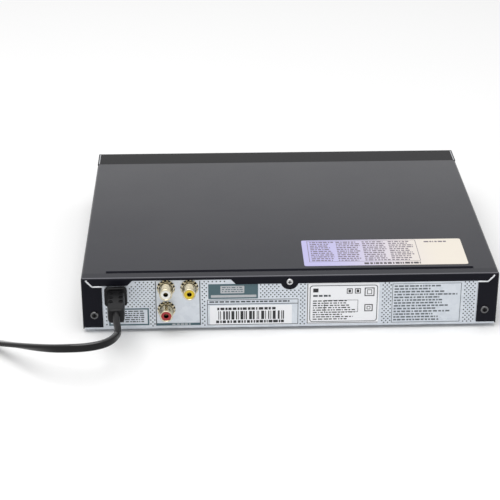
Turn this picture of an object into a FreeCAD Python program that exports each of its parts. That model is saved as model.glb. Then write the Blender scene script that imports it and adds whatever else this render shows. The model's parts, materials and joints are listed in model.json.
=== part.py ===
"""A compact disc player with a sliding tray, seen in the photograph from behind.

The frame is in millimetres: +Z up, the front panel faces -Y, the sockets face +Y,
and the origin lies on the table under the middle of the player.
"""

import FreeCAD, Part
import math
import os
import re

import Sketcher
from FreeCAD import Placement, Rotation, Vector

SIZES = {
    # case
    "width": 270, "depth": 208, "height": 40, "foot_height": 2.5, "foot_radius": 7,
    "foot_inset": 22, "steel": 0.8, "bend": 1.6, "gap": 0.3, "front_depth": 21,
    "front_wall": 2.2, "front_round": 1.5, "flange_rise": 12,
    # rear face of the cover
    "lip_drop": 5.5, "thin_lip_drop": 2, "thin_lip_from": 38.6, "thin_lip_to": 102.1,
    "lip_slope": 3.2, "tab_reach": 13.2, "tab_foot": 4.3, "tab_head": 33.4,
    "groove_back": 8.6, "groove_inset": 15.8, "channel_radius": 3.4, "channel_deep": 0.45,
    "screw_tab_radius": 5.8, "screw_head": 2.75, "middle_screw_head": 2.2,
    "middle_screw_across": 0.7, "middle_screw_drop": 4, "right_screw_inset": 7.8,
    "left_screw_inset": 8.2, "side_screw_up": 13.5, "screw_hole": 1.6,
    "panel_screw_hole": 1.35,
    # rear sockets
    "jack_reach": 9, "jack_near": 65.4, "jack_far": 80.5, "jack_low": 16.5,
    "jack_high": 32, "barrel_radius": 4.15, "barrel_bore": 3.25, "flange_radius": 5.9,
    "insert_bore": 1.6, "inlet_across": 113, "inlet_up": 27.3, "inlet_wide": 13.6,
    "inlet_tall": 8.8, "inlet_deep": 10, "pin_radius": 1.2, "pin_half_pitch": 4.2,
    # cord and its two ends
    "plug_long": 28, "plug_tilt": 3.5, "rim_wide": 14.6, "rim_tall": 13.4, "rim_thick": 2.4,
    "grip_wide": 11.2, "grip_tall": 10.2, "nose_wide": 12.4, "pin_slack": 0.55,
    "cord_wide": 5.6, "coil_gap": 0.5, "coil_radius": 42.5, "coil_across": 249,
    "coil_along": 78, "coil_in_turns": 3.25, "coil_out_turns": 2.75,
    "mains_long": 36, "mains_wide": 26, "mains_thick": 13.7, "mains_relief": 20,
    "mains_pin_radius": 2, "mains_pin_long": 19, "mains_pin_half": 9.5,
    # disc loader
    "loader_across": -50, "loader_half": 70, "loader_base": 5.3, "loader_plate": 1.6,
    "loader_wall": 1.8, "loader_top": 29.6, "loader_front": 8, "loader_long": 168.3,
    "disc_setback": 70.4, "disc_recess": 61, "small_recess": 41, "tray_clear": 0.6,
    "tray_under": 22.5, "tray_top": 27.6, "tray_long": 169.9, "tray_travel": 134,
    "slot_half": 20, "door_thick": 2.4, "door_foot": 17.5, "door_head": 32,
    "door_overlap": 1, "door_clear": 0.4, "opening_half": 40,
    "gear_along": 24.8, "rack_line": 52, "rack_module": 1, "rack_teeth": 22,
    "wheel_module": 0.8, "wheel_teeth": 36, "pinion_teeth": 14, "backlash": 0.2,
    "pulley_radius": 12.2, "small_pulley_radius": 4, "groove_radius": 11.2,
    "small_groove_radius": 2.6, "belt_thick": 1, "motor_gap": 35, "motor_radius": 10,
    "axle_radius": 1.5, "running": 0.08,
    # lifting mechanism, given with the disc raised
    "pivot_reach": 93.9, "pivot_up": 17.6, "lift_angle": 4.15, "lift_half": 38,
    "lift_under": 12.6, "lift_over": 15.5, "plate_under": 17, "plate_thick": 1.2,
    "plate_half": 37.5, "cam_travel": 14, "cam_pin_up": 19.5, "cam_pin_radius": 1.3,
    "cam_slack": 0.35, "spindle_motor_radius": 12.5, "seat_up": 26.5,
    "turntable_radius": 14.5, "lens_clear": 11.5, "lens_travel": 34, "rod_half": 20,
    "rod_up": 14.5, "rod_radius": 1.5, "screw_across": 25, "screw_up": 13,
    "clamper_radius": 16, "clamper_neck": 12.6, "bridge_up": 31, "bridge_thick": 1,
    # boards and front fittings
    "board_up": 8, "board_thick": 1.6, "board_setback": 98.1, "main_board_from": 25,
    "main_board_to": 91, "supply_board_from": 94, "supply_board_to": 131,
    "boss_radius": 3.5, "button_radius": 4, "button_proud": 0.4,
    "button_travel": 0.6, "button_up": 26.5, "button_first": 86, "button_step": 12.5,
    "window_from": 30, "window_to": 74, "window_low": 22, "window_high": 32,
    "usb_across": 104, "usb_up": 12.5,
    "usb_wide": 13.2, "usb_tall": 5.8, "label_thick": 0.15,
}

PLACES = {
    "half": "width / 2",
    "front": "0 - (depth + jack_reach - button_proud) / 2",
    "rear": "front + depth",
    "seam": "front + front_depth",
    "deck": "foot_height + steel",
    "ceiling": "height - steel",
    "panel_out": "rear - steel",
    "panel_in": "rear - 2 * steel",
    "inner_half": "half - steel - gap",
    "disc_along": "front + disc_setback",
    "tray_front": "front + door_thick",
    "frame_front": "front + loader_front",
    "frame_floor": "loader_base + loader_plate",
    "loader_rear": "frame_front + loader_long",
    "tray_half": "loader_half - loader_wall - tray_clear",
    "tray_back": "tray_front + tray_long",
    "door_half": "loader_half + door_overlap",
    "pivot_along": "disc_along + pivot_reach",
    "gear_line": "front + gear_along",
    "rack_across": "loader_across - rack_line",
    "tray_gear_across": "rack_across + rack_module * rack_teeth / 2",
    "gear_distance": "wheel_module * (wheel_teeth + pinion_teeth) / 2",
    "pulley_across": "tray_gear_across + gear_distance",
    "motor_across": "pulley_across + motor_gap",
    "lens_along": "disc_along + spindle_motor_radius + lens_clear",
    "rod_end": "disc_along + lens_travel + 40",
    "board_top": "board_up + board_thick",
    "board_line": "panel_in - board_setback",
    "plug_root": "panel_out + 0.8",
}

doc = FreeCAD.newDocument("disc_player")
sheet = doc.addObject("Spreadsheet::Sheet", "sizes")
for row, (alias, value) in enumerate(SIZES.items(), 1):
    sheet.set(f"A{row}", alias)
    sheet.set(f"B{row}", str(value))
    sheet.setAlias(f"B{row}", alias)
doc.recompute()

nodes = []


def expand(text):
    """Turn the words of a formula into the sheet's cells."""

    def swap(match):
        word = match.group()
        if word in PLACES:
            return "(" + expand(PLACES[word]) + ")"
        return "sizes." + word if word in SIZES else word

    return re.sub(r"[a-z][a-z_]+", swap, str(text))


def number(text):
    return float(sheet.evalExpression(expand(text)))


def numbers(*texts):
    return [number(text) for text in texts]


def keep(label, thing):
    """Name a finished sub-part, so that it is written out as its own node."""
    thing.Label = label
    nodes.append(thing)
    return thing


def box(x, y, z):
    block = doc.addObject("Part::Box", "block")
    for side, axis, (low, high) in zip(("Length", "Width", "Height"), "xyz", (x, y, z)):
        block.setExpression(side, expand(f"({high}) - ({low})"))
        block.setExpression(f"Placement.Base.{axis}", expand(low))
    return block


TURNS = {
    "x": Rotation(Vector(0, 1, 0), 90),
    "y": Rotation(Vector(1, 0, 0), -90),
    "z": Rotation(),
}


def rod(axis, start, radius, length, top_radius=None):
    """A cylinder from start along an axis, or a cone where a top radius is given."""
    kind = "Part::Cylinder" if top_radius is None else "Part::Cone"
    round_bar = doc.addObject(kind, "round_bar")
    round_bar.Placement = Placement(Vector(), TURNS[axis])
    if top_radius is None:
        round_bar.setExpression("Radius", expand(radius))
    else:
        round_bar.setExpression("Radius1", expand(radius))
        round_bar.setExpression("Radius2", expand(top_radius))
    round_bar.setExpression("Height", expand(length))
    for letter, text in zip("xyz", start):
        round_bar.setExpression(f"Placement.Base.{letter}", expand(text))
    return round_bar


def join(*things):
    if len(things) == 1:
        return things[0]
    whole = doc.addObject("Part::MultiFuse", "joined")
    whole.Shapes = list(things)
    return whole


def cut(base, *tools):
    rest = doc.addObject("Part::Cut", "cut")
    rest.Base = base
    rest.Tool = join(*tools)
    return rest


def ring(axis, start, outer, inner, length):
    return cut(rod(axis, start, outer, length), rod(axis, start, inner, length))


def solid(shape, name="formed"):
    thing = doc.addObject("Part::Feature", name)
    thing.Shape = shape
    return thing


def along(letter, least=0.0):
    """A test for straight edges that run along one axis."""
    axis = {"x": Vector(1, 0, 0), "y": Vector(0, 1, 0), "z": Vector(0, 0, 1)}[letter]

    def test(edge):
        if edge.Curve.TypeId != "Part::GeomLine" or edge.Length < least:
            return False
        return abs(edge.tangentAt(edge.FirstParameter).dot(axis)) > 0.999

    return test


def span_of(*texts):
    """The ends of a stretch, the lower one first."""
    return sorted(texts, key=number)


def rounded(base, radius, test):
    doc.recompute()
    size = number(radius)
    result = doc.addObject("Part::Fillet", "rounded")
    result.Base = base
    result.Edges = [(i, size, size) for i, edge in enumerate(base.Shape.Edges, 1) if test(edge)]
    return result


def rounded_box(x, y, z, radius, letter):
    return rounded(box(x, y, z), radius, along(letter))


class Body:
    """A sub-part drawn as sketches on its own origin planes, padded and pocketed in turn.

    Sketch points are (x, y) on XY, (x, z) on XZ and (y, z) on YZ; span is the stretch
    covered along the third axis.
    """

    def __init__(self):
        self.body = doc.addObject("PartDesign::Body", "body")

    def sketch(self, plane, span, outlines, circles):
        sketch = self.body.newObject("Sketcher::SketchObject", "sketch")
        face = [f for f in self.body.Origin.OriginFeatures if f.Role == plane + "_Plane"][0]
        sketch.AttachmentSupport = [(face, "")]
        sketch.MapMode = "FlatFace"
        offset = f"0 - ({span[1]})" if plane == "XZ" else span[0]
        sketch.setExpression("AttachmentOffset.Base.z", expand(offset))
        for outline in outlines:
            self.draw(sketch, outline)
        for across, up, radius in circles:
            centre = Vector(number(across), number(up), 0)
            circle = Part.Circle(centre, Vector(0, 0, 1), number(radius))
            index = sketch.addGeometry(circle, False)
            self.place(sketch, index, 3, (across, up))
            bound = sketch.addConstraint(Sketcher.Constraint("Radius", index, number(radius)))
            sketch.setExpression(f"Constraints[{bound}]", expand(radius))
        return sketch

    def draw(self, sketch, outline):
        points = [Vector(number(a), number(b), 0) for a, b in outline]
        count = len(points)
        lines = [
            sketch.addGeometry(Part.LineSegment(points[i], points[(i + 1) % count]), False)
            for i in range(count)
        ]
        for i in range(count):
            following = lines[(i + 1) % count]
            sketch.addConstraint(Sketcher.Constraint("Coincident", lines[i], 2, following, 1))
            self.place(sketch, lines[i], 1, outline[i])

    def place(self, sketch, index, point, texts):
        for kind, text in zip(("DistanceX", "DistanceY"), texts):
            held = Sketcher.Constraint(kind, -1, 1, index, point, number(text))
            bound = sketch.addConstraint(held)
            sketch.setExpression(f"Constraints[{bound}]", expand(text))

    def add(self, plane, span, outlines=(), circles=()):
        sketch = self.sketch(plane, span, outlines, circles)
        pad = self.body.newObject("PartDesign::Pad", "pad")
        pad.Profile = sketch
        pad.setExpression("Length", expand(f"({span[1]}) - ({span[0]})"))
        doc.recompute()
        return self

    def remove(self, plane, span, outlines=(), circles=()):
        before = self.body.Shape.Volume
        sketch = self.sketch(plane, span, outlines, circles)
        pocket = self.body.newObject("PartDesign::Pocket", "pocket")
        pocket.Profile = sketch
        pocket.Reversed = True
        pocket.setExpression("Length", expand(f"({span[1]}) - ({span[0]})"))
        doc.recompute()
        if self.body.Shape.Volume > before - 1e-6:
            raise RuntimeError(f"a pocket along {plane} from {span[0]} cut nothing")
        return self

    def round(self, radius, test):
        tip = self.body.Tip
        fillet = self.body.newObject("PartDesign::Fillet", "fillet")
        names = [f"Edge{i}" for i, edge in enumerate(tip.Shape.Edges, 1) if test(edge)]
        fillet.Base = (tip, names)
        fillet.setExpression("Radius", expand(radius))
        doc.recompute()
        return self


def rectangle(x, y):
    return [(x[0], y[0]), (x[1], y[0]), (x[1], y[1]), (x[0], y[1])]


# Case


def bottom_chassis():
    """The folded steel tray under everything, with the bare rear panel turned up."""
    side = "inner_half"
    body = Body()
    body.add("XY", ("foot_height", "deck"), [rectangle((f"-{side}", side), ("seam", "panel_out"))])
    body.add("XZ", ("panel_in", "panel_out"), [
        rectangle((f"-{side}", side), ("foot_height", "ceiling - gap")),
    ])
    for low, high in ((f"-{side}", f"steel - {side}"), (f"{side} - steel", side)):
        body.add("YZ", (low, high), [
            rectangle(("seam", "panel_out"), ("foot_height", "foot_height + flange_rise")),
        ])
    body.add("XZ", ("seam", "seam + steel"), [
        rectangle(("loader_across + loader_half + 4", side), ("foot_height", "deck + 9")),
        rectangle((f"-{side}", "loader_across - loader_half - 4"), ("foot_height", "deck + 9")),
    ])
    for across, along_y in board_bosses():
        body.add("XY", ("deck", "board_up"), [], [(across, along_y, "boss_radius")])
    jacks = [(x, z, "barrel_radius + 0.35") for x, z in jack_places()]
    screws = [(x, z, "panel_screw_hole") for x, z in side_screws() + [middle_screw()]]
    body.remove("XZ", ("panel_in - 1", "rear"), [], jacks + screws)
    body.remove("XZ", ("panel_in - 1", "rear"), [rectangle(
        ("inlet_across - inlet_wide / 2", "inlet_across + inlet_wide / 2"),
        ("inlet_up - inlet_tall / 2", "inlet_up + inlet_tall / 2"),
    )])
    slots = [
        rectangle((f"100 + {6 * i}", f"102.5 + {6 * i}"), ("seam + 18", "seam + 44"))
        for i in range(5)
    ]
    body.remove("XY", ("foot_height - 1", "deck + 1"), slots)
    holes = [(x, y, 1.2) for x, y in board_bosses()]
    body.remove("XY", ("deck - 2", "board_up + 1"), [], holes)
    loader_holes = [(x, y, 1.5) for x, y in loader_feet()]
    body.remove("XY", ("deck - 2", "deck + 1"), [], loader_holes)
    return keep("bottom_chassis", body.body)


def jack_places():
    return [("jack_far", "jack_high"), ("jack_far", "jack_low"), ("jack_near", "jack_high")]


def board_bosses():
    main_sides = ("main_board_from + 5", "main_board_to - 4")
    supply_sides = ("supply_board_from + 4", "supply_board_to - 4")
    main = [(x, y) for x in main_sides for y in ("board_line + 4", "panel_in - 28")]
    supply = [(x, y) for x in supply_sides for y in ("board_line - 37.3", "panel_in - 30")]
    return main + supply


def loader_feet():
    sides = ("loader_across - 60", "loader_across + 60")
    return [(x, y) for x in sides for y in ("seam + 8", "loader_rear - 9")]


def top_cover():
    """The folded steel lid: top, two sides, a lip and two wrapped tabs at the rear."""
    body = Body()
    body.add("XY", ("foot_height + 0.5", "height"), [rectangle(("-half", "half"), ("seam", "rear"))])

    def outer(edge):
        middle = edge.CenterOfMass
        top = middle.z > number("height") - 0.01
        back = middle.y > number("rear") - 0.01
        side = abs(middle.x) > number("half") - 0.01
        return (top and (back or side)) or (back and side)

    body.round("bend", outer)
    body.remove("XY", ("foot_height", "ceiling"), [
        rectangle(("steel - half", "half - steel"), ("seam - 1", "panel_out")),
    ])
    low, high, edge = "tab_foot", "tab_head", "half - tab_reach"
    body.remove("XZ", ("panel_out - 0.1", "rear + 1"), [[
        (f"-({edge})", "foot_height"), (edge, "foot_height"), (edge, high),
        ("half - 6.4", high), ("half - 2.9", f"{high} + 3.6"), ("half - 2.2", "height - 1.4"),
        ("half - 3.2", "height - 1.4"), ("half - 4", f"{high} + 4.1"),
        ("half - 7", f"{high} + 1.1"), ("thin_lip_to + lip_slope", "height - lip_drop"),
        ("thin_lip_to", "height - thin_lip_drop"), ("thin_lip_from", "height - thin_lip_drop"),
        ("thin_lip_from - lip_slope", "height - lip_drop"),
        ("7 - half", f"{high} + 1.1"), ("4 - half", f"{high} + 4.1"),
        ("3.2 - half", "height - 1.4"), ("2.2 - half", "height - 1.4"),
        ("2.9 - half", f"{high} + 3.6"), ("6.4 - half", high), (f"-({edge})", high),
    ]])
    for sign in ("-", ""):
        ends = span_of(f"{sign}(half + 1)", f"{sign}({edge})")
        body.remove("XZ", ("panel_out - 0.1", "rear + 1"), [rectangle(ends, ("foot_height", low))])
    body.remove("XZ", ("panel_out - 1", "rear + 1"), [], [
        (x, z, "screw_hole") for x, z in side_screws()
    ])
    across, up = middle_screw()
    above = box((f"{across} - screw_tab_radius", f"{across} + screw_tab_radius"),
                ("panel_out - 1", "rear + 1"), ("height - bend", "height + screw_tab_radius"))
    tab = cut(rod("y", (across, "panel_out", up), "screw_tab_radius", "steel"), above)
    hole = rod("y", (across, "panel_out - 1", up), "screw_hole", "steel + 2")
    line = ("groove_inset - half", "rear - groove_back", "height + channel_radius - channel_deep")
    channel = rod("x", line, "channel_radius", "width - 2 * groove_inset")
    return keep("top_cover", cut(join(body.body, tab), hole, channel))


def side_screws():
    """The screws through the lid's two rear tabs."""
    return [("half - right_screw_inset", "side_screw_up"), ("left_screw_inset - half", "side_screw_up")]


def middle_screw():
    """The screw through the tab in the middle of the lid's rear lip."""
    return "middle_screw_across", "height - middle_screw_drop"


def front_panel():
    """The moulded front, with openings for the tray, window, buttons and socket."""
    body = Body()
    body.add("XY", ("foot_height", "height"), [rectangle(("-half", "half"), ("front", "seam"))])

    def front_edge(edge):
        return edge.CenterOfMass.y < number("front") + 0.01

    body.round("front_round", front_edge)
    body.remove("XZ", ("front + front_wall", "seam + 1"), [rectangle(
        ("front_wall - half", "half - front_wall"),
        ("foot_height + front_wall", "height - front_wall"),
    )])
    through = ("front - 1", "front + front_wall + 1")
    body.remove("XZ", through, [
        rectangle(
            ("loader_across - door_half - door_clear", "loader_across + door_half + door_clear"),
            ("door_foot - door_clear", "door_head + door_clear"),
        ),
        rectangle(("window_from", "window_to"), ("window_low", "window_high")),
        rectangle(
            ("usb_across - usb_wide / 2 - gap", "usb_across + usb_wide / 2 + gap"),
            ("usb_up - usb_tall / 2 - gap", "usb_up + usb_tall / 2 + gap"),
        ),
    ])
    body.remove("XZ", through, [], [
        (x, "button_up", "button_radius + gap") for x in button_places()
    ])
    return keep("front_panel", body.body)


def button_places():
    return [f"button_first + {i} * button_step" for i in range(4)]


def buttons():
    """Four caps, each with a flange behind the panel and a stem to its switch."""
    names = ("power_button", "open_button", "play_button", "stop_button")
    for name, x in zip(names, button_places()):
        cap = rod("y", (x, "front - button_proud", "button_up"), "button_radius",
                  "front_wall + button_proud + 0.6")
        cap = rounded(cap, "0.5", lambda edge: edge.Closed and edge.CenterOfMass.y < number("front"))
        flange = rod("y", (x, "front + front_wall + gap", "button_up"), "button_radius + 1.2", 1)
        stem = rod("y", (x, "front + front_wall", "button_up"), 1.5,
                   "8.4 - front_wall - button_travel")
        keep(name, join(cap, flange, stem))


def display_window():
    face = "front + front_wall"
    pane = box(("window_from", "window_to"), ("front", face), ("window_low", "window_high"))
    lug = box(("window_from - 2", "window_to + 2"), (face, f"{face} + 1"),
              ("window_low - 2", "window_high + 2"))
    return keep("display_window", join(pane, lug))


def usb_socket():
    x, z, w, t = "usb_across", "usb_up", "usb_wide / 2", "usb_tall / 2"
    span = ("front + 0.6", "front + 14.6")
    shell = box((f"{x} - {w}", f"{x} + {w}"), span, (f"{z} - {t}", f"{z} + {t}"))
    hollow = box((f"{x} - {w} + 0.4", f"{x} + {w} - 0.4"), ("front", "front + 14.2"),
                 (f"{z} - {t} + 0.4", f"{z} + {t} - 0.4"))
    keep("usb_shell", cut(shell, hollow))
    block = box((f"{x} - {w} + 0.5", f"{x} + {w} - 0.5"), ("front + 11.4", "front + 14.1"),
                (f"{z} - {t} + 0.5", f"{z} + {t} - 0.5"))
    tongue = box((f"{x} - 5", f"{x} + 5"), ("front + 2.4", "front + 11.4"),
                 (f"{z} + 0.5", f"{z} + 1.7"))
    keep("usb_insert", join(block, tongue))


def front_board():
    """The upright board behind the buttons, with its four switches and the display block."""
    back = "front + 11.3"
    board = box(("window_from - 3", "supply_board_to"), (back, f"{back} + board_thick"), (6, 36))
    notch = box(("usb_across - usb_wide / 2 - gap", "usb_across + usb_wide / 2 + gap"),
                ("front + 10", "front + 15"), (5, "usb_up + usb_tall / 2 + gap"))
    keep("front_board", cut(board, notch))
    switches = []
    for x in button_places():
        switches.append(box((f"{x} - 3", f"{x} + 3"), (f"{back} - 2.5", back),
                            ("button_up - 3", "button_up + 3")))
    keep("front_switches", join(*switches))
    display = box(("window_from + 3", "window_to - 12"), ("front + front_wall + 1.4", back),
                  ("window_low + 0.5", "window_high - 0.5"))
    receiver = box(("window_to - 8", "window_to - 2"), ("front + front_wall + 2", back),
                   ("window_low + 1.5", "window_high - 1.5"))
    keep("display_block", join(display, receiver))


def feet():
    rows = []
    for x in ("foot_inset - half", "half - foot_inset"):
        for y in ("seam + foot_inset", "rear - foot_inset"):
            rows.append(rod("z", (x, y, 0), "foot_radius", "foot_height"))
    return keep("feet", join(*rows))


def screw(axis_point, length, head_radius):
    """A screw driven in along -Y, its head outside the given face."""
    x, y, z = axis_point
    head = rod("y", (x, y, z), head_radius, 1.2)
    head = rounded(head, "0.6", lambda edge: edge.Closed and edge.CenterOfMass.y > number(y) + 1)
    shank = rod("y", (x, f"{y} - {length}", z), 1.3, length)
    cross = [
        box((f"{x} - 1.4", f"{x} + 1.4"), (f"{y} + 0.5", f"{y} + 2"), (f"{z} - 0.3", f"{z} + 0.3")),
        box((f"{x} - 0.3", f"{x} + 0.3"), (f"{y} + 0.5", f"{y} + 2"), (f"{z} - 1.4", f"{z} + 1.4")),
    ]
    return cut(join(head, shank), *cross)


def cover_screws():
    across, up = middle_screw()
    keep("cover_screw_middle", screw((across, "rear", up), 4, "middle_screw_head"))
    sides = [screw((x, "rear", z), 4, "screw_head") for x, z in side_screws()]
    keep("cover_screws_sides", join(*sides))


# Rear sockets


def jacks():
    """Three coaxial sockets on one moulded block, each with its own coloured insert."""
    low, high = "panel_in - 12", "panel_in"
    block = box(("jack_near - 8.5", "jack_far + 8.5"), (low, high),
                ("board_top", "jack_high + 6.5"))
    keep("jack_block", block)
    shells = []
    for x, z in jack_places():
        barrel = ring("y", (x, "panel_in", z), "barrel_radius", "barrel_bore", "2 * steel + jack_reach")
        flange = ring("y", (x, "panel_out", z), "flange_radius", "barrel_radius - 0.2", 1)
        shells.append(join(barrel, flange))
    keep("jack_shells", join(*shells))
    names = ("jack_insert_white", "jack_insert_red", "jack_insert_yellow")
    for name, (x, z) in zip(names, jack_places()):
        core = rod("y", (x, "panel_in", z), "barrel_bore - 0.02", "2 * steel + jack_reach - 0.5")
        hole = rod("y", (x, "panel_in + 2", z), "insert_bore", "2 * steel + jack_reach")
        keep(name, cut(core, hole))


def inlet():
    """The two-pin mains inlet behind the rear panel."""
    x, z = "inlet_across", "inlet_up"
    body = box((f"{x} - inlet_wide / 2 - 1.6", f"{x} + inlet_wide / 2 + 1.6"),
               ("panel_in - inlet_deep - 4", "panel_in"),
               (f"{z} - inlet_tall / 2 - 1.6", f"{z} + inlet_tall / 2 + 1.6"))
    cavity = rounded_box((f"{x} - inlet_wide / 2", f"{x} + inlet_wide / 2"),
                         ("panel_in - inlet_deep", "panel_in + 1"),
                         (f"{z} - inlet_tall / 2", f"{z} + inlet_tall / 2"), "3.9", "y")
    legs = box((f"{x} - 8", f"{x} + 8"), ("panel_in - 12", "panel_in - 2"),
               ("board_top", f"{z} - inlet_tall / 2 - 1.6"))
    keep("inlet_body", cut(join(body, legs), cavity))
    pins = [
        rod("y", (f"{x} + {side} * pin_half_pitch", "panel_in - inlet_deep", z), "pin_radius",
            "inlet_deep - 1.5")
        for side in (-1, 1)
    ]
    keep("inlet_pins", join(*pins))


def plug_frame():
    """Where the connector plug sits: its root on the panel, turned a little to one side."""
    root = Vector(*numbers("inlet_across", "panel_out", "inlet_up"))
    return root, Rotation(Vector(0, 0, 1), number("plug_tilt"))


def plug_point(reach):
    """A point on the connector plug's own axis, so far out from the panel."""
    root, turn = plug_frame()
    return root + turn.multVec(Vector(0, reach, 0))


def connector_plug():
    """The moulded connector on the cord: its nose is in the inlet."""
    x, z = "inlet_across", "inlet_up"

    def part(wide, ends, tall, radius):
        across = (f"{x} - {wide} / 2", f"{x} + {wide} / 2")
        return rounded_box(across, ends, (f"{z} - {tall} / 2", f"{z} + {tall} / 2"), radius, "y")

    rim = part("rim_wide", ("plug_root", "plug_root + rim_thick"), "rim_tall", "2.4")
    grip = part("grip_wide", ("plug_root", "plug_root + plug_long"), "grip_tall", "1.6")
    nose = part("nose_wide", ("panel_out - 8", "plug_root"), "(inlet_tall - 1.4)", "3.4")
    holes = [
        rod("y", (f"{x} + {side} * pin_half_pitch", "panel_out - 9", z), "pin_radius + pin_slack", 9)
        for side in (-1, 1)
    ]
    whole = cut(join(rim, grip, nose), *holes)
    doc.recompute()
    plug = solid(whole.Shape.copy(), "connector")
    root, turn = plug_frame()
    plug.Placement = Placement(Vector(), turn, root)
    return keep("connector_plug", plug)


# Cord

LEAD = [
    (-2.7, 19.4, -1.1), (3.2, 30.3, -1.4), (15.3, 35.4, -1.5), (31.9, 31.6, -4.1),
    (41.6, 26.4, -6.7), (53.4, 16.6, -11.1), (67.2, 3.4, -16.7), (81.1, -10.2, -21.6),
    (88.1, -19.6, -22.8),
]


def lead_points():
    """The seen stretch, straight out of the connector plug and down to the coil.

    The middle points are set from the plug's end; the last two are set on the coil.
    """
    reach = number("plug_long + 0.8")
    start = plug_point(reach)
    points = [start, plug_point(reach + 6.8)] + [start + Vector(*step) for step in LEAD]
    rest = number("cord_wide / 2")
    meet = Vector(*numbers("coil_across - coil_radius", "coil_along + cord_wide"), rest)
    return points + [meet + Vector(0, 9, 0), meet]


def tube_path(points):
    """Straight runs joined by tangent arcs, each arc as large as its two runs allow."""
    edges, radii, start = [], [], points[0]
    for before, corner, after in zip(points, points[1:], points[2:]):
        into, out = corner - before, after - corner
        turn = into.getAngle(out)
        reach = 0.45 * min(into.Length, out.Length)
        radii.append(reach / math.tan(turn / 2))
        first = corner - into.normalize() * reach
        last = corner + out.normalize() * reach
        inward = (first + last) * 0.5 - corner
        depth = radii[-1] / math.cos(turn / 2) - radii[-1]
        middle = corner + inward.normalize() * depth
        edges.append(Part.LineSegment(start, first).toShape())
        edges.append(Part.Arc(first, middle, last).toShape())
        start = last
    edges.append(Part.LineSegment(start, points[-1]).toShape())
    return Part.Wire(edges), radii


def tube(path, radius):
    """A round tube swept along a path of lines and arcs."""
    edge = path.OrderedEdges[0]
    circle = Part.Circle(edge.valueAt(edge.FirstParameter), edge.tangentAt(edge.FirstParameter), radius)
    return path.makePipeShell([Part.Wire(circle.toShape())], True, False)


def check_tube(name, shape, path, radius):
    expected = math.pi * radius**2 * path.Length
    share = shape.Volume / expected
    print(f"{name}: length {path.Length:.1f} mm, volume over section times length {share:.4f}")
    if abs(share - 1) > 0.01:
        raise RuntimeError(f"{name} has the wrong volume")


def free_stretch(name, points):
    path, radii = tube_path(points)
    radius = number("cord_wide / 2")
    shape = tube(path, radius)
    check_tube(name, shape, path, radius)
    print(f"{name}: bend radii", " ".join(f"{r:.1f}" for r in radii))
    return keep(name, solid(shape, name))


def coil_point(turn):
    """A point of the coil after so many turns: in on the table, then out on top."""
    pitch = number("cord_wide + coil_gap")
    inward = number("coil_in_turns")
    radius = number("coil_radius") - pitch * (turn if turn < inward else 2 * inward - turn)
    climbed = min(max((turn - inward + 0.25) / 0.5, 0), 1)
    up = number("cord_wide / 2") + pitch * climbed * climbed * (3 - 2 * climbed)
    angle = math.pi + 2 * math.pi * turn
    across, back = numbers("coil_across", "coil_along")
    return Vector(across + radius * math.cos(angle), back + radius * math.sin(angle), up)


def biarc(start, tangent, end, end_tangent):
    """Two arcs that leave start along one tangent and reach end along the other."""
    chord = end - start
    both = tangent + end_tangent
    a = both.dot(both) - 4
    b = chord.dot(both)
    c = chord.dot(chord)
    reach = (b - math.sqrt(b * b - a * c)) / a
    first, last = start + tangent * reach, end - end_tangent * reach
    joint = (first + last) * 0.5
    return [arc_between(start, first, joint), arc_between(joint, last, end)]


def arc_between(start, corner, end):
    into, out = corner - start, end - corner
    turn = into.getAngle(out)
    radius = into.Length / math.tan(turn / 2)
    inward = (start + end) * 0.5 - corner
    middle = corner + inward.normalize() * (radius / math.cos(turn / 2) - radius)
    return Part.Arc(start, middle, end).toShape()


def coil_path():
    """Quarter turns as pairs of arcs, with one straight diameter at each end."""
    turns = number("coil_in_turns + coil_out_turns")
    count = round(4 * turns)
    small = 1e-4
    places, tangents = [], []
    for i in range(count + 1):
        turn = turns * i / count
        places.append(coil_point(turn))
        step = coil_point(turn + small) - coil_point(turn - small)
        tangents.append(step.normalize())
    tangents[0] = Vector(0, -1, 0)
    tangents[-1] = Vector(0, -1, 0)
    straight = number("cord_wide")
    edges = [Part.LineSegment(places[0] - tangents[0] * straight, places[0]).toShape()]
    for i in range(count):
        edges += biarc(places[i], tangents[i], places[i + 1], tangents[i + 1])
    last = places[-1] + tangents[-1] * straight
    edges.append(Part.LineSegment(places[-1], last).toShape())
    return Part.Wire(edges), last


def least_gap(path, diameter):
    """The least distance between two stretches of one tube, less the tube itself."""
    step = 1.5
    points = path.discretize(Number=int(path.Length / step))
    apart = int(3 * diameter / step)
    cells = {}
    for i, point in enumerate(points):
        cells.setdefault((int(point.x // 12), int(point.y // 12)), []).append(i)
    best = 1e9
    for (cx, cy), members in cells.items():
        near = [j for dx in (-1, 0, 1) for dy in (-1, 0, 1) for j in cells.get((cx + dx, cy + dy), [])]
        for i in members:
            for j in near:
                if j - i > apart:
                    best = min(best, (points[i] - points[j]).Length)
    return best - diameter


def cord():
    """The flat mains cord as its round envelope: the seen lead, the coil and the tail."""
    free_stretch("cord_lead", lead_points())
    path, end = coil_path()
    radius = number("cord_wide / 2")
    shape = tube(path, radius)
    check_tube("cord_coil", shape, path, radius)
    print(f"cord_coil: least gap to itself {least_gap(path, 2 * radius):.2f} mm")
    keep("cord_coil", solid(shape, "coil"))
    free_stretch("cord_tail", tail_points(end))


TAIL = [(0, 0, 0), (0, -9, 0), (1.6, -20, 0.2), (6, -30.4, 0.6), (14, -39.4, 1), (22, -47.4, 1)]


def tail_points(end):
    """The end that leaves the coil's top and comes down to the mains plug's middle."""
    drop = number("mains_thick / 2") - end.z
    return [end + Vector(across, back, share * drop) for across, back, share in TAIL]


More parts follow.
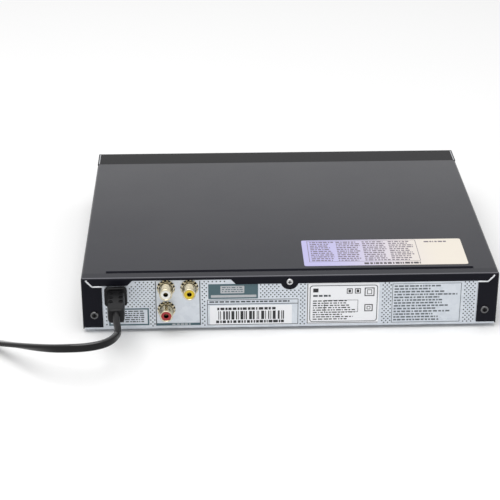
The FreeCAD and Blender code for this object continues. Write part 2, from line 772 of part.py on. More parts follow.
def mains_plug():
    """The flat two-pin plug at the far end, lying on the table beside the coil."""
    long, wide, thick, relief = numbers("mains_long", "mains_wide", "mains_thick", "mains_relief")
    taper = Part.makeCone(number("cord_wide / 2 + 0.2"), 5.4, relief, Vector(), Vector(0, 1, 0))
    sides = [
        Vector(-6.5, relief, 0), Vector(6.5, relief, 0), Vector(wide / 2, relief + 0.55 * long, 0),
        Vector(wide / 2, relief + long, 0), Vector(-wide / 2, relief + long, 0),
        Vector(-wide / 2, relief + 0.55 * long, 0), Vector(-6.5, relief, 0),
    ]
    sides = [point - Vector(0, 0, thick / 2) for point in sides]
    block = Part.Face(Part.makePolygon(sides)).extrude(Vector(0, 0, thick))
    block = block.makeFillet(1.8, block.Edges)
    _, end = coil_path()
    tail = tail_points(end)
    last, way = tail[-1], tail[-1] - tail[-2]
    turn = Rotation(Vector(0, 0, 1), math.degrees(math.atan2(-way.x, way.y)))
    place = Placement(Vector(last.x, last.y, thick / 2), turn)
    plug = solid(taper.fuse(block), "mains")
    plug.Placement = place
    keep("mains_plug", plug)
    pins = []
    radius, pin_long = numbers("mains_pin_radius", "mains_pin_long")
    for side in (-1, 1):
        start = Vector(side * number("mains_pin_half"), relief + long, 0)
        pin = Part.makeCylinder(radius, pin_long, start, Vector(0, 1, 0))
        tip = [edge for edge in pin.Edges if edge.Closed and edge.CenterOfMass.y > relief + long + 1]
        pins.append(pin.makeFillet(1.2, tip))
    group = solid(Part.makeCompound(pins), "pins")
    group.Placement = place
    keep("mains_plug_pins", group)


# Boards


def supply_board():
    top = "board_top"
    board = box(("supply_board_from", "supply_board_to"), ("board_line - 43.3", "panel_in - 2"),
                ("board_up", top))
    holes = [rod("z", (x, y, "board_up - 1"), 1.4, 4) for x, y in board_bosses()[4:]]
    keep("supply_board", cut(board, *holes))
    core = box((99, 123), ("board_line - 14", "board_line + 12"), (top, 30))
    winding = box((96.5, 125.5), ("board_line - 10", "board_line + 8"), (f"{top} + 2", 27.5))
    keep("transformer", join(core, winding))
    bulk = rod("z", (104, "board_line + 28", top), 8, 22)
    bulk = rounded(bulk, "0.8", lambda edge: edge.Closed and edge.CenterOfMass.z > 20)
    places = ((120, 22), (120, 33), (100, -22))
    small = [rod("z", (x, f"board_line + {y}", top), 4, 14) for x, y in places]
    keep("supply_capacitors", join(bulk, *small))
    plate = box((112, 128), ("board_line + 46", "board_line + 47.6"), (top, 34))
    device = box((115, 125), ("board_line + 41.4", "board_line + 46"), (f"{top} + 3", 27))
    keep("heatsink", join(plate, device))


def main_board():
    top = "board_top"
    board = box(("main_board_from", "main_board_to"), ("board_line - 2", "panel_in - 2"),
                ("board_up", top))
    holes = [rod("z", (x, y, "board_up - 1"), 1.4, 4) for x, y in board_bosses()[:4]]
    keep("main_board", cut(board, *holes))

    def block(x, y, height):
        back = [f"board_line + {value}" for value in y]
        return box(x, back, (top, f"{top} + {height}"))

    sizes = [((44, 66), (26, 48)), ((34, 44), (56, 74)), ((70, 78), (14, 28)), ((72, 80), (40, 52))]
    chips = [block(x, y, 1.8) for x, y in sizes]
    header = block((27, 33), (12, 42), 5)
    link = block((83, 89), (30, 52), 7)
    places = ((56, 8), (66, 62), (50, 84), (77, 64))
    cans = [rod("z", (x, f"board_line + {y}", top), 3, 8) for x, y in places]
    keep("main_chips", join(*chips, header, link, *cans))


def board_screws():
    """Screws that hold the two boards and the loader down."""
    screws = []
    for x, y in board_bosses():
        screws.append(rod("z", (x, y, "board_top"), 2.8, 1.8))
        screws.append(rod("z", (x, y, "board_top - 5"), 1.15, 5))
    for x, y in loader_feet():
        screws.append(rod("z", (x, y, "frame_floor"), 2.8, 1.8))
        screws.append(rod("z", (x, y, "deck - 1.5"), 1.4, "frame_floor - deck + 1.5"))
    return keep("inner_screws", join(*screws))


def flat_cable():
    """The flat flexible cable from the main board to the loader's side."""
    wall = number("loader_across + loader_half")
    top = number("board_top + 5")
    edge = number("board_line + 14")
    outline = [
        (29, top), (29, top + 6), (wall + 0.3, top + 6), (wall + 0.3, top + 5.7),
        (28.7, top + 5.7), (28.7, top), (29, top),
    ]
    profile = [Vector(x, edge, z) for x, z in outline]
    strip = Part.Face(Part.makePolygon(profile)).extrude(Vector(0, 26, 0))
    return keep("flat_cable", solid(strip, "strip"))


def wires():
    """Inlet leads and the supply harness, each wire an arch between two connectors."""
    pieces = []
    top = number("board_top")
    inlet_back, across, up = numbers("panel_in - inlet_deep - 4", "inlet_across", "inlet_up")
    for side in (-1, 1):
        x = across + side * number("pin_half_pitch")
        points = [
            Vector(x, inlet_back, up), Vector(x, inlet_back - 6, up),
            Vector(x, inlet_back - 13, up - 5), Vector(x, inlet_back - 14, up - 12),
            Vector(x, inlet_back - 14, top),
        ]
        path, _ = tube_path(points)
        pieces.append(tube(path, 1.0))
    for i in range(5):
        y = number("board_line") + 32 + 4 * i
        points = [
            Vector(86, y, top + 7), Vector(86, y, top + 12), Vector(91, y, top + 16),
            Vector(96, y, top + 12), Vector(96, y, top),
        ]
        path, _ = tube_path(points)
        pieces.append(tube(path, 0.8))
    return keep("inner_wires", solid(Part.makeCompound(pieces), "wires"))


# Gears


def gear_face(teeth, module, up, phase=0.0):
    """A flat toothed outline with involute flanks and stub teeth, a tooth at the phase."""
    pressure = math.radians(20)
    pitch = module * teeth / 2
    base = pitch * math.cos(pressure)
    root, tip = pitch - 1.15 * module, pitch + 0.8 * module
    half = math.pi / (2 * teeth) - number("backlash") / 4 / pitch
    half += math.tan(pressure) - pressure
    radii = [root, max(base, root + 0.05), pitch, tip]
    points = []
    for i in range(teeth):
        middle = phase + 2 * math.pi * i / teeth
        flank = []
        for radius in radii:
            angle = math.acos(min(1, base / radius))
            flank.append((radius, half - (math.tan(angle) - angle)))
        for radius, away in flank:
            points.append((radius, middle - away))
        for radius, away in reversed(flank):
            points.append((radius, middle + away))
    corners = [Vector(r * math.cos(a), r * math.sin(a), up) for r, a in points]
    return Part.Face(Part.makePolygon(corners + corners[:1]))


def toothed(teeth, module, low, high, phase=0.0):
    return gear_face(teeth, module, low, phase).extrude(Vector(0, 0, high - low))


def disc(radius, low, high):
    return Part.makeCylinder(radius, high - low, Vector(0, 0, low))


def bored(shape, low, high):
    return shape.cut(disc(number("axle_radius + running"), low - 1, high + 1))


def place_at(shape, across, back):
    shape.translate(Vector(number(across), number(back), 0))
    return shape


def tray_gear():
    """The compound gear whose upper teeth drive the tray's rack."""
    module, wheel_module = numbers("rack_module", "wheel_module")
    teeth, wheel_teeth = int(number("rack_teeth")), int(number("wheel_teeth"))
    low = number("frame_floor + gap")
    shape = toothed(teeth, module, 18.6, 22.0, math.pi)
    shape = shape.fuse(toothed(wheel_teeth, wheel_module, 12.0, 15.4))
    shape = shape.fuse(disc(5, 15.4, 18.6))
    shape = shape.fuse(disc(4, low, 12.0))
    shape = bored(shape.removeSplitter(), low, 22.0)
    return keep("tray_gear", solid(place_at(shape, "tray_gear_across", "gear_line"), "gear"))


def pulley(outer, groove, low):
    """A grooved wheel: two rims with the belt's seat between them."""
    wheel = disc(outer, low, low + 0.7)
    wheel = wheel.fuse(disc(groove, low + 0.7, low + 2.3))
    return wheel.fuse(disc(outer, low + 2.3, low + 3.0))


def pulley_gear():
    """The belt pulley with the pinion that turns the tray gear."""
    teeth, module = int(number("pinion_teeth")), number("wheel_module")
    low = number("frame_floor + 0.5")
    outer, groove = numbers("pulley_radius", "groove_radius")
    phase = math.pi + math.pi / teeth
    shape = toothed(teeth, module, low + 3.0, 16.2, phase).fuse(pulley(outer, groove, low))
    shape = bored(shape.removeSplitter(), low, 16.2)
    return keep("pulley_gear", solid(place_at(shape, "pulley_across", "gear_line"), "pulley"))


def motor_pulley():
    low = number("frame_floor + 0.5")
    outer, groove = numbers("small_pulley_radius", "small_groove_radius")
    shape = pulley(outer, groove, low).fuse(disc(1, low, 14))
    return keep("motor_pulley", solid(place_at(shape, "motor_across", "gear_line"), "small_pulley"))


def belt_face(inner_large, inner_small, distance, up):
    """The flat outline of a loop round two circles of different size."""
    lean = math.acos((inner_large - inner_small) / distance)

    def at(centre, radius, angle):
        return Vector(centre + radius * math.cos(angle), radius * math.sin(angle), up)

    large_up, large_down = at(0, inner_large, lean), at(0, inner_large, -lean)
    small_up, small_down = at(distance, inner_small, lean), at(distance, inner_small, -lean)
    edges = [
        Part.LineSegment(large_up, small_up).toShape(),
        Part.Arc(small_up, at(distance, inner_small, 0), small_down).toShape(),
        Part.LineSegment(small_down, large_down).toShape(),
        Part.Arc(large_down, at(0, inner_large, math.pi), large_up).toShape(),
    ]
    return Part.Face(Part.Wire(edges))


def drive_belt():
    thick = number("belt_thick")
    large = number("groove_radius + gap")
    small = number("small_groove_radius + gap")
    gap = number("motor_gap")
    low = number("frame_floor + 0.5") + 1.0
    outside = belt_face(large + thick, small + thick, gap, low).extrude(Vector(0, 0, 1))
    inside = belt_face(large, small, gap, low).extrude(Vector(0, 0, 1))
    shape = place_at(outside.cut(inside), "pulley_across", "gear_line")
    return keep("drive_belt", solid(shape, "belt"))


def loading_motor():
    can = rod("z", ("motor_across", "gear_line", 11.8), "motor_radius", 9.6)
    can = rounded(can, "0.8", lambda edge: edge.Closed)
    bore = rod("z", ("motor_across", "gear_line", 11), 1.1, 4)
    return keep("loading_motor", cut(can, bore))


# Loader


def loader_frame():
    """The moulded frame that guides the tray and carries the drive and the lift pivot."""
    x, half, wall = "loader_across", "loader_half", "loader_wall"
    base, floor, top = "loader_base", "frame_floor", "loader_top"
    left, right = f"{x} - {half}", f"{x} + {half}"
    plate = box((left, right), ("frame_front", "loader_rear"), (base, floor))
    window = box((f"{x} - opening_half", f"{x} + opening_half"),
                 ("disc_along - 24.5", "pivot_along - 4"), (base, floor))
    walls = [
        box((left, f"{left} + {wall}"), ("frame_front", "loader_rear"), (base, top)),
        box((f"{right} - {wall}", right), ("frame_front", "loader_rear"), (base, top)),
        box((left, right), (f"loader_rear - {wall}", "loader_rear"), (base, top)),
        box((left, right), ("frame_front", "frame_front + 1.4"), (base, "door_foot - gap")),
    ]
    ledges = []
    for sign in (-1, 1):
        ends = span_of(f"{x} + {sign} * (tray_half + tray_clear)", f"{x} + {sign} * (tray_half - 4)")
        ledges.append(box(ends, ("frame_front", "loader_rear"), ("tray_under - 2.3", "tray_under - gap")))
    lugs = []
    for sign in (-1, 1):
        ends = span_of(f"{x} + {sign} * (tray_half - 2)", f"{x} + {sign} * ({half} - {wall})")
        for start in ("frame_front + 2", "frame_front + 36", "frame_front + 120"):
            lugs.append(box(ends, (start, f"{start} + 10"), ("tray_top + 0.5", top)))
        inner = span_of(f"{x} + {sign} * (tray_half - 1.6)", f"{x} + {sign} * {half}")
        lugs.append(box(inner, ("disc_along - 12", "disc_along + 12"), (top, "bridge_up")))
    bosses = []
    for sign in (-1, 1):
        ends = span_of(f"{x} + {sign} * (lift_half + 0.6)", f"{x} + {sign} * (lift_half + 6)")
        bosses.append(box(ends, ("pivot_along - 4", "pivot_along + 4"), (base, "pivot_up + 4")))
    feet_list = [rod("z", (px, py, "deck"), 3.5, "loader_base - deck") for px, py in loader_feet()]
    axles = [
        rod("z", ("tray_gear_across", "gear_line", base), "axle_radius", "tray_under - gap - loader_base"),
        rod("z", ("pulley_across", "gear_line", base), "axle_radius", "17 - loader_base"),
    ]
    mx, my = "motor_across", "gear_line"
    seat = box((f"{mx} - 12", f"{mx} + 12"), (f"{my} - 12", f"{my} + 12"), (10.9, 11.8))
    corners = [(f"{mx} + {a}", f"{my} + {b}") for a in (-10.5, 10.5) for b in (-10.5, 10.5)]
    posts = [
        box((f"{px} - 1.5", f"{px} + 1.5"), (f"{py} - 1.5", f"{py} + 1.5"), (floor, 10.9))
        for px, py in corners
    ]
    rail = box((f"{x} - 44", f"{x} + 44"), ("disc_along - 30.6", "disc_along - 29.2"), (floor, 10))
    carriers = [*walls, *ledges, *lugs, *bosses, *feet_list, *axles, seat, *posts, rail]
    whole = join(cut(plate, window), *carriers)
    holes = [
        rod("z", (px, py, "deck - 1"), 1.55, "frame_floor - deck + 2") for px, py in loader_feet()
    ]
    pivot = rod("x", (f"{x} - {half}", "pivot_along", "pivot_up"), "2 + running", "2 * loader_half")
    motor_hole = rod("z", (mx, my, 10), 3, 3)
    trunnions = box((f"{x} - lift_half - 6.4", f"{x} + lift_half + 6.4"),
                    ("pivot_along - 3", "pivot_along + 3"), ("pivot_up - 3", "pivot_up + 3"))
    doc.recompute()
    bore = solid(pivot.Shape.common(trunnions.Shape), "pivot_bore")
    return keep("loader_frame", cut(whole, bore, motor_hole, *holes))


def rack():
    """Straight-sided teeth along the tray, a space facing the gear when it is shut."""
    module = number("rack_module")
    line, start = number("rack_across"), number("gear_line")
    pitch = math.pi * module
    half = pitch / 4 - number("backlash") / 4
    lean = math.tan(math.radians(20))
    top, bottom = 0.8 * module, 1.15 * module
    back = line - bottom - 3
    last = int(number("tray_travel") / pitch) + 2
    first = start - 3 * pitch - 1
    points = [Vector(back, first, 0), Vector(line - bottom, first, 0)]
    for i in range(-3, last):
        middle = start + (i + 0.5) * pitch
        for side, reach in ((-1, -bottom), (-1, top), (1, top), (1, -bottom)):
            away = half - reach * lean
            points.append(Vector(line + reach, middle + side * away, 0))
    end = start + last * pitch + 1
    points += [Vector(line - bottom, end, 0), Vector(back, end, 0)]
    face = Part.Face(Part.makePolygon(points + points[:1]))
    low, high = numbers("tray_under - 4", "tray_under")
    face.translate(Vector(0, 0, low))
    return solid(face.extrude(Vector(0, 0, high - low)), "rack_teeth")


def disc_tray():
    """The sliding tray with its two disc recesses, slot and toothed rack."""
    x, y = "loader_across", "disc_along"
    half, under, top = "tray_half", "tray_under", "tray_top"
    body = Body()
    body.add("XY", (under, top), [
        rectangle((f"{x} - {half}", f"{x} + {half}"), ("tray_front", "tray_back")),
    ])
    body.remove("XY", (f"{under} + 2", f"{top} + 1"), [], [(x, y, "disc_recess")])
    body.remove("XY", (f"{under} + 1.3", f"{under} + 3"), [], [(x, y, "small_recess")])
    body.remove("XY", (f"{under} - 1", f"{top} + 1"), [
        rectangle((f"{x} - slot_half", f"{x} + slot_half"), (f"{y} - 18", f"{y} + 74")),
    ])
    notches = []
    for side in (-1, 1):
        ends = span_of(f"{x} + {side} * 44", f"{x} + {side} * 60")
        notches.append(rectangle(ends, (f"{y} + 46", f"{y} + 62")))
    body.remove("XY", (f"{under} + 2", f"{top} + 1"), notches)
    pocket = rectangle((f"{x} - 60", f"{x} + 60"), ("tray_back - 20", "tray_back - 3"))
    body.remove("XY", (f"{under} - 1", f"{top} - 1.6"), [pocket])
    return keep("disc_tray", join(body.body, rack()))


def tray_door():
    x = "loader_across"
    body = Body()
    body.add("XY", ("door_foot", "door_head"), [
        rectangle((f"{x} - door_half", f"{x} + door_half"), ("front", "tray_front")),
    ])
    face = number("front")
    body.round("0.6", lambda edge: edge.CenterOfMass.y < face + 0.01)
    return keep("tray_door", body.body)


def cam_slider():
    """The bar that slides sideways and lifts the mechanism by a pin in its slope."""
    x, y = number("loader_across"), number("disc_along")
    bar = Part.makeBox(76, 3.4, 14.6, Vector(x - 38, y - 28.9, 7.3))
    low, high = cam_heights()
    travel, radius = number("cam_travel"), number("cam_pin_radius + cam_slack")
    start, end = Vector(x, y - 30, low), Vector(x - travel, y - 30, high)
    depth = Vector(0, 6, 0)
    way = end - start
    side = Vector(way.z, 0, -way.x).normalize() * radius
    corners = [start + side, end + side, end - side, start - side, start + side]
    slot = Part.Face(Part.makePolygon(corners)).extrude(depth)
    for centre in (start, end):
        slot = slot.fuse(Part.makeCylinder(radius, 6, centre, Vector(0, 1, 0)))
    return keep("cam_slider", solid(bar.cut(slot), "cam"))


def cam_heights():
    """How high the lift pin stands at rest and with the mechanism raised."""
    raised = Vector(*numbers("loader_across", "disc_along - 27.2", "cam_pin_up"))
    return lowered().multVec(raised).z, raised.z


def lowered():
    """The tilt from the raised place, in which the mechanism is described, to rest."""
    pivot = Vector(*numbers("loader_across", "pivot_along", "pivot_up"))
    return Placement(Vector(), Rotation(Vector(1, 0, 0), number("lift_angle")), pivot)


def at_rest(label, thing):
    doc.recompute()
    piece = solid(thing.Shape.copy(), label)
    piece.Placement = lowered().multiply(thing.Shape.Placement)
    return keep(label, piece)


def lift_frame():
    """The hinged frame under the mechanism, with its trunnions and cam pin."""
    x, half = "loader_across", "lift_half"
    low, high = "lift_under", "lift_over"
    plate = box((f"{x} - {half}", f"{x} + {half}"), ("disc_along - 23.8", "pivot_along + 3"),
                (low, high))
    window = box((f"{x} - 31", f"{x} + 31"), ("disc_along - 13", "pivot_along - 6"), (low, high))
    ears = [
        box((f"{x} + {a}", f"{x} + {b}"), ("pivot_along - 3", "pivot_along + 3"), (low, "pivot_up + 2.6"))
        for a, b in (("-lift_half", "3 - lift_half"), ("lift_half - 3", "lift_half"))
    ]
    trunnions = [
        rod("x", (f"{x} + {a}", "pivot_along", "pivot_up"), 2, 6.4)
        for a in ("-lift_half - 5.4", "lift_half - 1")
    ]
    tab = box((f"{x} - 3", f"{x} + 3"), ("disc_along - 23.8", "disc_along - 21.2"),
              (low, "cam_pin_up + 2.1"))
    pin = rod("y", (x, "disc_along - 28.6", "cam_pin_up"), "cam_pin_radius", 5)
    peg_long = "plate_under + plate_thick + 1.6 - lift_over"
    pegs = [rod("z", (px, py, high), 1.5, peg_long) for px, py in damper_places()]
    at_rest("lift_frame", join(cut(plate, window), *ears, *trunnions, tab, pin, *pegs))


def damper_places():
    x = "loader_across"
    lines = ("disc_along - 16", "pivot_along - 12.5")
    return [(f"{x} + {side}", y) for side in (-33, 33) for y in lines]


def mechanism_plate():
    """The steel plate that holds the spindle motor and the rods for the pickup."""
    x, half = "loader_across", "plate_half"
    low, high = "plate_under", "plate_under + plate_thick"
    plate = box((f"{x} - {half}", f"{x} + {half}"), ("disc_along - 20.6", "pivot_along - 8"),
                (low, high))
    window = box((f"{x} - 17.5", f"{x} + 17.5"), ("disc_along + 12.6", "rod_end - 3"),
                 (low, high))
    brackets = []
    for y in ("disc_along + 9.4", "rod_end - 1.6"):
        for side in (-1, 1):
            ends = span_of(f"{x} + {side} * (rod_half - 2.6)", f"{x} + {side} * (rod_half + 2.6)")
            brackets.append(box(ends, (y, f"{y} + 1.6"), ("rod_up - 2.6", low)))
    bearing = box((f"{x} + screw_across - 2.4", f"{x} + screw_across + 2.4"),
                  ("disc_along + 9.4", "disc_along + 11"), ("screw_up - 2.4", low))
    holes = [
        rod("y", (f"{x} + {side} * rod_half", "disc_along + 8", "rod_up"), "rod_radius + 0.02",
            "lens_travel + 36")
        for side in (-1, 1)
    ]
    holes.append(rod("y", (f"{x} + screw_across", "disc_along + 8", "screw_up"), "1.2 + running", 4))
    holes += [rod("z", (px, py, "plate_under - 1"), 2.8, 4) for px, py in damper_places()]
    at_rest("mechanism_plate", cut(join(cut(plate, window), *brackets, bearing), *holes))


def dampers():
    """Four rubber grommets between the lift frame and the steel plate."""
    rows = []
    for x, y in damper_places():
        under = rod("z", (x, y, "lift_over"), 4, "plate_under - lift_over")
        neck = rod("z", (x, y, "plate_under"), 2.75, "plate_thick")
        over = rod("z", (x, y, "plate_under + plate_thick"), 4, 1)
        bore = rod("z", (x, y, "lift_over"), 1.55, 5)
        rows.append(cut(join(under, neck, over), bore))
    at_rest("dampers", join(*rows))


def spindle():
    """The disc motor, and the turntable with its centring cone."""
    x, y = "loader_across", "disc_along"
    foot = "plate_under + plate_thick"
    can = rod("z", (x, y, foot), "spindle_motor_radius", "seat_up - 3.2 - plate_under - plate_thick")
    shaft_hole = rod("z", (x, y, f"{foot} + 1"), "1 + running", 10)
    at_rest("spindle_motor", cut(can, shaft_hole))
    seat = rod("z", (x, y, "seat_up - 2.8"), "turntable_radius", 2.8)
    hub = rod("z", (x, y, "seat_up"), 7.4, 1.7, top_radius=6.2)
    shaft = rod("z", (x, y, f"{foot} + 1.4"), 1, 7)
    at_rest("turntable", join(seat, hub, shaft))


def guide_rods():
    x = "loader_across"
    rods = [
        rod("y", (f"{x} + {side} * rod_half", "disc_along + 9.4", "rod_up"), "rod_radius",
            "rod_end - disc_along - 9.4")
        for side in (-1, 1)
    ]
    at_rest("guide_rods", join(*rods))


def pickup():
    """The optical pickup on its rods, and the lens that floats in it."""
    x, y = "loader_across", "lens_along"
    under = "plate_under - 0.4"
    lower = box((f"{x} - rod_half - 3.2", f"{x} + rod_half + 3.2"), (f"{y} - 8", f"{y} + 8"),
                ("rod_up - 2.6", under))
    upper = box((f"{x} - 16", f"{x} + 16"), (f"{y} - 10.6", f"{y} + 10.6"), (under, 21.5))
    arm = box((f"{x} + rod_half + 3.2", f"{x} + screw_across + 2"), (f"{y} - 3", f"{y} + 3"),
              ("screw_up + 1.5", under))
    bores = [
        rod("y", (f"{x} + {side} * rod_half", f"{y} - 12", "rod_up"), "rod_radius + running", 24)
        for side in (-1, 1)
    ]
    well = rod("z", (x, y, 20.3), 4.6, 3)
    at_rest("pickup_sled", cut(join(lower, upper, arm), *bores, well))
    lens = rod("z", (x, y, 20.9), 4, 2.6)
    dome = rod("z", (x, y, 23.5), 2.2, 0.6, top_radius=1.2)
    at_rest("pickup_lens", join(lens, dome))


def feed():
    """The feed motor and its lead screw, which moves the pickup."""
    x = "loader_across + screw_across"
    can = rod("y", (x, "rod_end + 2", "screw_up"), 3.6, 11)
    strap = box((f"{x} - 3", f"{x} + 3"), ("rod_end + 2.5", "rod_end + 9"),
                ("screw_up + 3.4", "plate_under"))
    hole = rod("y", (x, "rod_end + 1", "screw_up"), 1.3, 6)
    at_rest("feed_motor", cut(join(can, strap), hole))
    shaft = rod("y", (x, "disc_along + 9.2", "screw_up"), 1.2, "lens_travel + 36")
    at_rest("feed_screw", shaft)


def clamp():
    """The steel bridge over the disc, and the clamper that floats in it."""
    x, y = "loader_across", "disc_along"
    low, high = "bridge_up", "bridge_up + bridge_thick"
    plate = box((f"{x} - loader_half", f"{x} + loader_half"), (f"{y} - 18", f"{y} + 18"),
                (low, high))
    rib = [
        box((f"{x} - 56", f"{x} + 56"), (a, b), (high, f"{high} + 2"))
        for a, b in ((f"{y} - 18", f"{y} - 17"), (f"{y} + 17", f"{y} + 18"))
    ]
    hole = rod("z", (x, y, f"{low} - 1"), "clamper_neck + 0.4", 4)
    keep("clamp_bridge", cut(join(plate, *rib), hole))
    disc_plate = rod("z", (x, y, "tray_top + 0.9"), "clamper_radius", 2)
    neck = rod("z", (x, y, "tray_top + 2.9"), "clamper_neck", f"{high} + 1.2 - tray_top - 2.9")
    rim = rod("z", (x, y, f"{high} + 0.3"), "clamper_neck + 2.6", 1)
    recess = rod("z", (x, y, "tray_top"), 8, 2.4)
    keep("clamper", cut(join(disc_plate, neck, rim), recess))


# Printed pieces


def stickers():
    """Thin printed labels on the rear panel and on the lid."""
    spans = (((-57.5, -10.5), (4.4, 34.2)), ((-1, 52.4), (4.8, 18.6)))
    rear_labels = [box(x, ("panel_out", "panel_out + label_thick"), z) for x, z in spans]
    lid_label = box((-117, -9.6), ("rear - 51.4", "rear - 13.4"), ("height", "height + label_thick"))
    keep("labels", join(*rear_labels, lid_label))


def build():
    for make in (
        bottom_chassis, top_cover, front_panel, tray_door, display_window, buttons, usb_socket,
        front_board, feet, cover_screws, jacks, inlet, connector_plug, cord, mains_plug,
        supply_board, main_board, board_screws, flat_cable, wires, tray_gear, pulley_gear,
        motor_pulley, drive_belt, loading_motor, loader_frame, disc_tray, cam_slider, lift_frame,
        mechanism_plate, dampers, spindle, guide_rods, pickup, feed, clamp, stickers,
    ):
        make()


def write():
    doc.recompute()
    for thing in doc.Objects:
        if {"Invalid", "Error"} & set(thing.State):
            raise RuntimeError(f"{thing.Label} failed: {thing.State}")
    for node in nodes:
        if node.Shape.isNull() or not node.Shape.isValid():
            raise RuntimeError(f"{node.Label} has no valid shape")
    os.makedirs("parts", exist_ok=True)
    for node in nodes:
        node.Shape.exportStep(f"parts/{node.Label}.step")
    print(f"{len(nodes)} nodes, overall depth {number('depth + jack_reach + button_proud'):.1f} mm")


build()
write()
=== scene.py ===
"""The looks of a slim disc player that stands with its rear panel towards the camera.

Everything is in the shared frame: +Z up, the front panel faces -Y, the sockets face +Y. New
pieces are drawn in millimetres and set down in metres.
"""

import json
import math
import random

import bmesh
import bpy
from mathutils import Matrix, Vector


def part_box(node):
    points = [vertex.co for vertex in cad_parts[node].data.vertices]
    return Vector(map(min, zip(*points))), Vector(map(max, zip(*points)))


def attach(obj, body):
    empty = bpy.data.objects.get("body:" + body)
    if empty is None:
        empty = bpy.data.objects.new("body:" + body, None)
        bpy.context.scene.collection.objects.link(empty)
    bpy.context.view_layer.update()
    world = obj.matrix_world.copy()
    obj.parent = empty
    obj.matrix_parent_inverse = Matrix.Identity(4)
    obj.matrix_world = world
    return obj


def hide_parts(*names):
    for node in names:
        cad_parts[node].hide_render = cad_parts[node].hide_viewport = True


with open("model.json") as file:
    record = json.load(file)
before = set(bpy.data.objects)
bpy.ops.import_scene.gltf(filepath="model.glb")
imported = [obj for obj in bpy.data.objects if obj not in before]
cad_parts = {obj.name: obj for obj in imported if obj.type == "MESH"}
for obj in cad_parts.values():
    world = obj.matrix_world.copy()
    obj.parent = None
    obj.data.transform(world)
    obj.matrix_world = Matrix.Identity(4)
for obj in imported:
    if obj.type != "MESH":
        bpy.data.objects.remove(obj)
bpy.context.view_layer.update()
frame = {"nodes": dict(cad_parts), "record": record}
nodes = frame["nodes"]

MM = 0.001
SMOOTH_ANGLE = math.radians(38)


def corners(node):
    """A node's lowest and highest corner, in millimetres."""
    low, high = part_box(node)
    return low / MM, high / MM


# Camera

CAMERA_PLACE = Vector((0.0532, 0.95395, 0.48153))
CAMERA_YAW = math.radians(-1.801)
CAMERA_PITCH = math.radians(26.307)
FOCAL_LENGTH = 107.82
SENSOR_WIDTH = 36


def set_camera():
    """The photograph's view: from behind and above, a long lens."""
    level = math.cos(CAMERA_PITCH)
    forward = Vector((
        math.sin(CAMERA_YAW) * level, -math.cos(CAMERA_YAW) * level, -math.sin(CAMERA_PITCH),
    ))
    right = Vector((-math.cos(CAMERA_YAW), -math.sin(CAMERA_YAW), 0))
    up = right.cross(forward)
    lens = bpy.data.cameras.new("camera")
    lens.lens = FOCAL_LENGTH
    lens.sensor_width = SENSOR_WIDTH
    lens.sensor_fit = "HORIZONTAL"
    lens.clip_start = 0.01
    camera = bpy.data.objects.new("camera", lens)
    turned_to = Matrix((right, up, -forward)).transposed().to_4x4()
    camera.matrix_world = Matrix.Translation(CAMERA_PLACE) @ turned_to
    bpy.context.scene.collection.objects.link(camera)
    bpy.context.scene.camera = camera


set_camera()


# Finishes


def tone(red, green, blue):
    """A screen colour of 0 to 255 as the shader's linear colour."""
    levels = []
    for level in (red, green, blue):
        share = level / 255
        levels.append(share / 12.92 if share <= 0.04045 else ((share + 0.055) / 1.055) ** 2.4)
    return (*levels, 1.0)


def shaded(colour, share, lift=0.0):
    """A colour with its channels multiplied by one number, and raised by another."""
    return tuple(min(1.0, channel * share + lift) for channel in colour[:3]) + (1.0,)


class Value:
    """A material's number or colour, used in plain arithmetic."""

    def __init__(self, finish, socket):
        self.finish = finish
        self.socket = socket

    def calc(self, operation, *values):
        numbered = dict(enumerate(values))
        return self.finish.node("ShaderNodeMath", {"operation": operation}, numbered)

    def __add__(self, other):
        return self.calc("ADD", self, other)

    def __sub__(self, other):
        return self.calc("SUBTRACT", self, other)

    def __rsub__(self, other):
        return self.calc("SUBTRACT", other, self)

    def __mul__(self, other):
        return self.calc("MULTIPLY", self, other)

    def __abs__(self):
        return self.calc("ABSOLUTE", self)

    def __gt__(self, other):
        return self.calc("GREATER_THAN", self, other)

    def __lt__(self, other):
        return self.calc("LESS_THAN", self, other)

    __radd__ = __add__
    __rmul__ = __mul__

    def either(self, other):
        """The larger of two values."""
        return self.calc("MAXIMUM", self, other)

    def wrapped(self, length):
        """The remainder after whole steps of a length."""
        return self.calc("FLOORED_MODULO", self, length)

    def eased(self, low, high):
        """0 below low, 1 above high, with a smooth change between."""
        return self.finish.node(
            "ShaderNodeMapRange", {"interpolation_type": "SMOOTHSTEP"}, {0: self, 1: low, 2: high},
        )


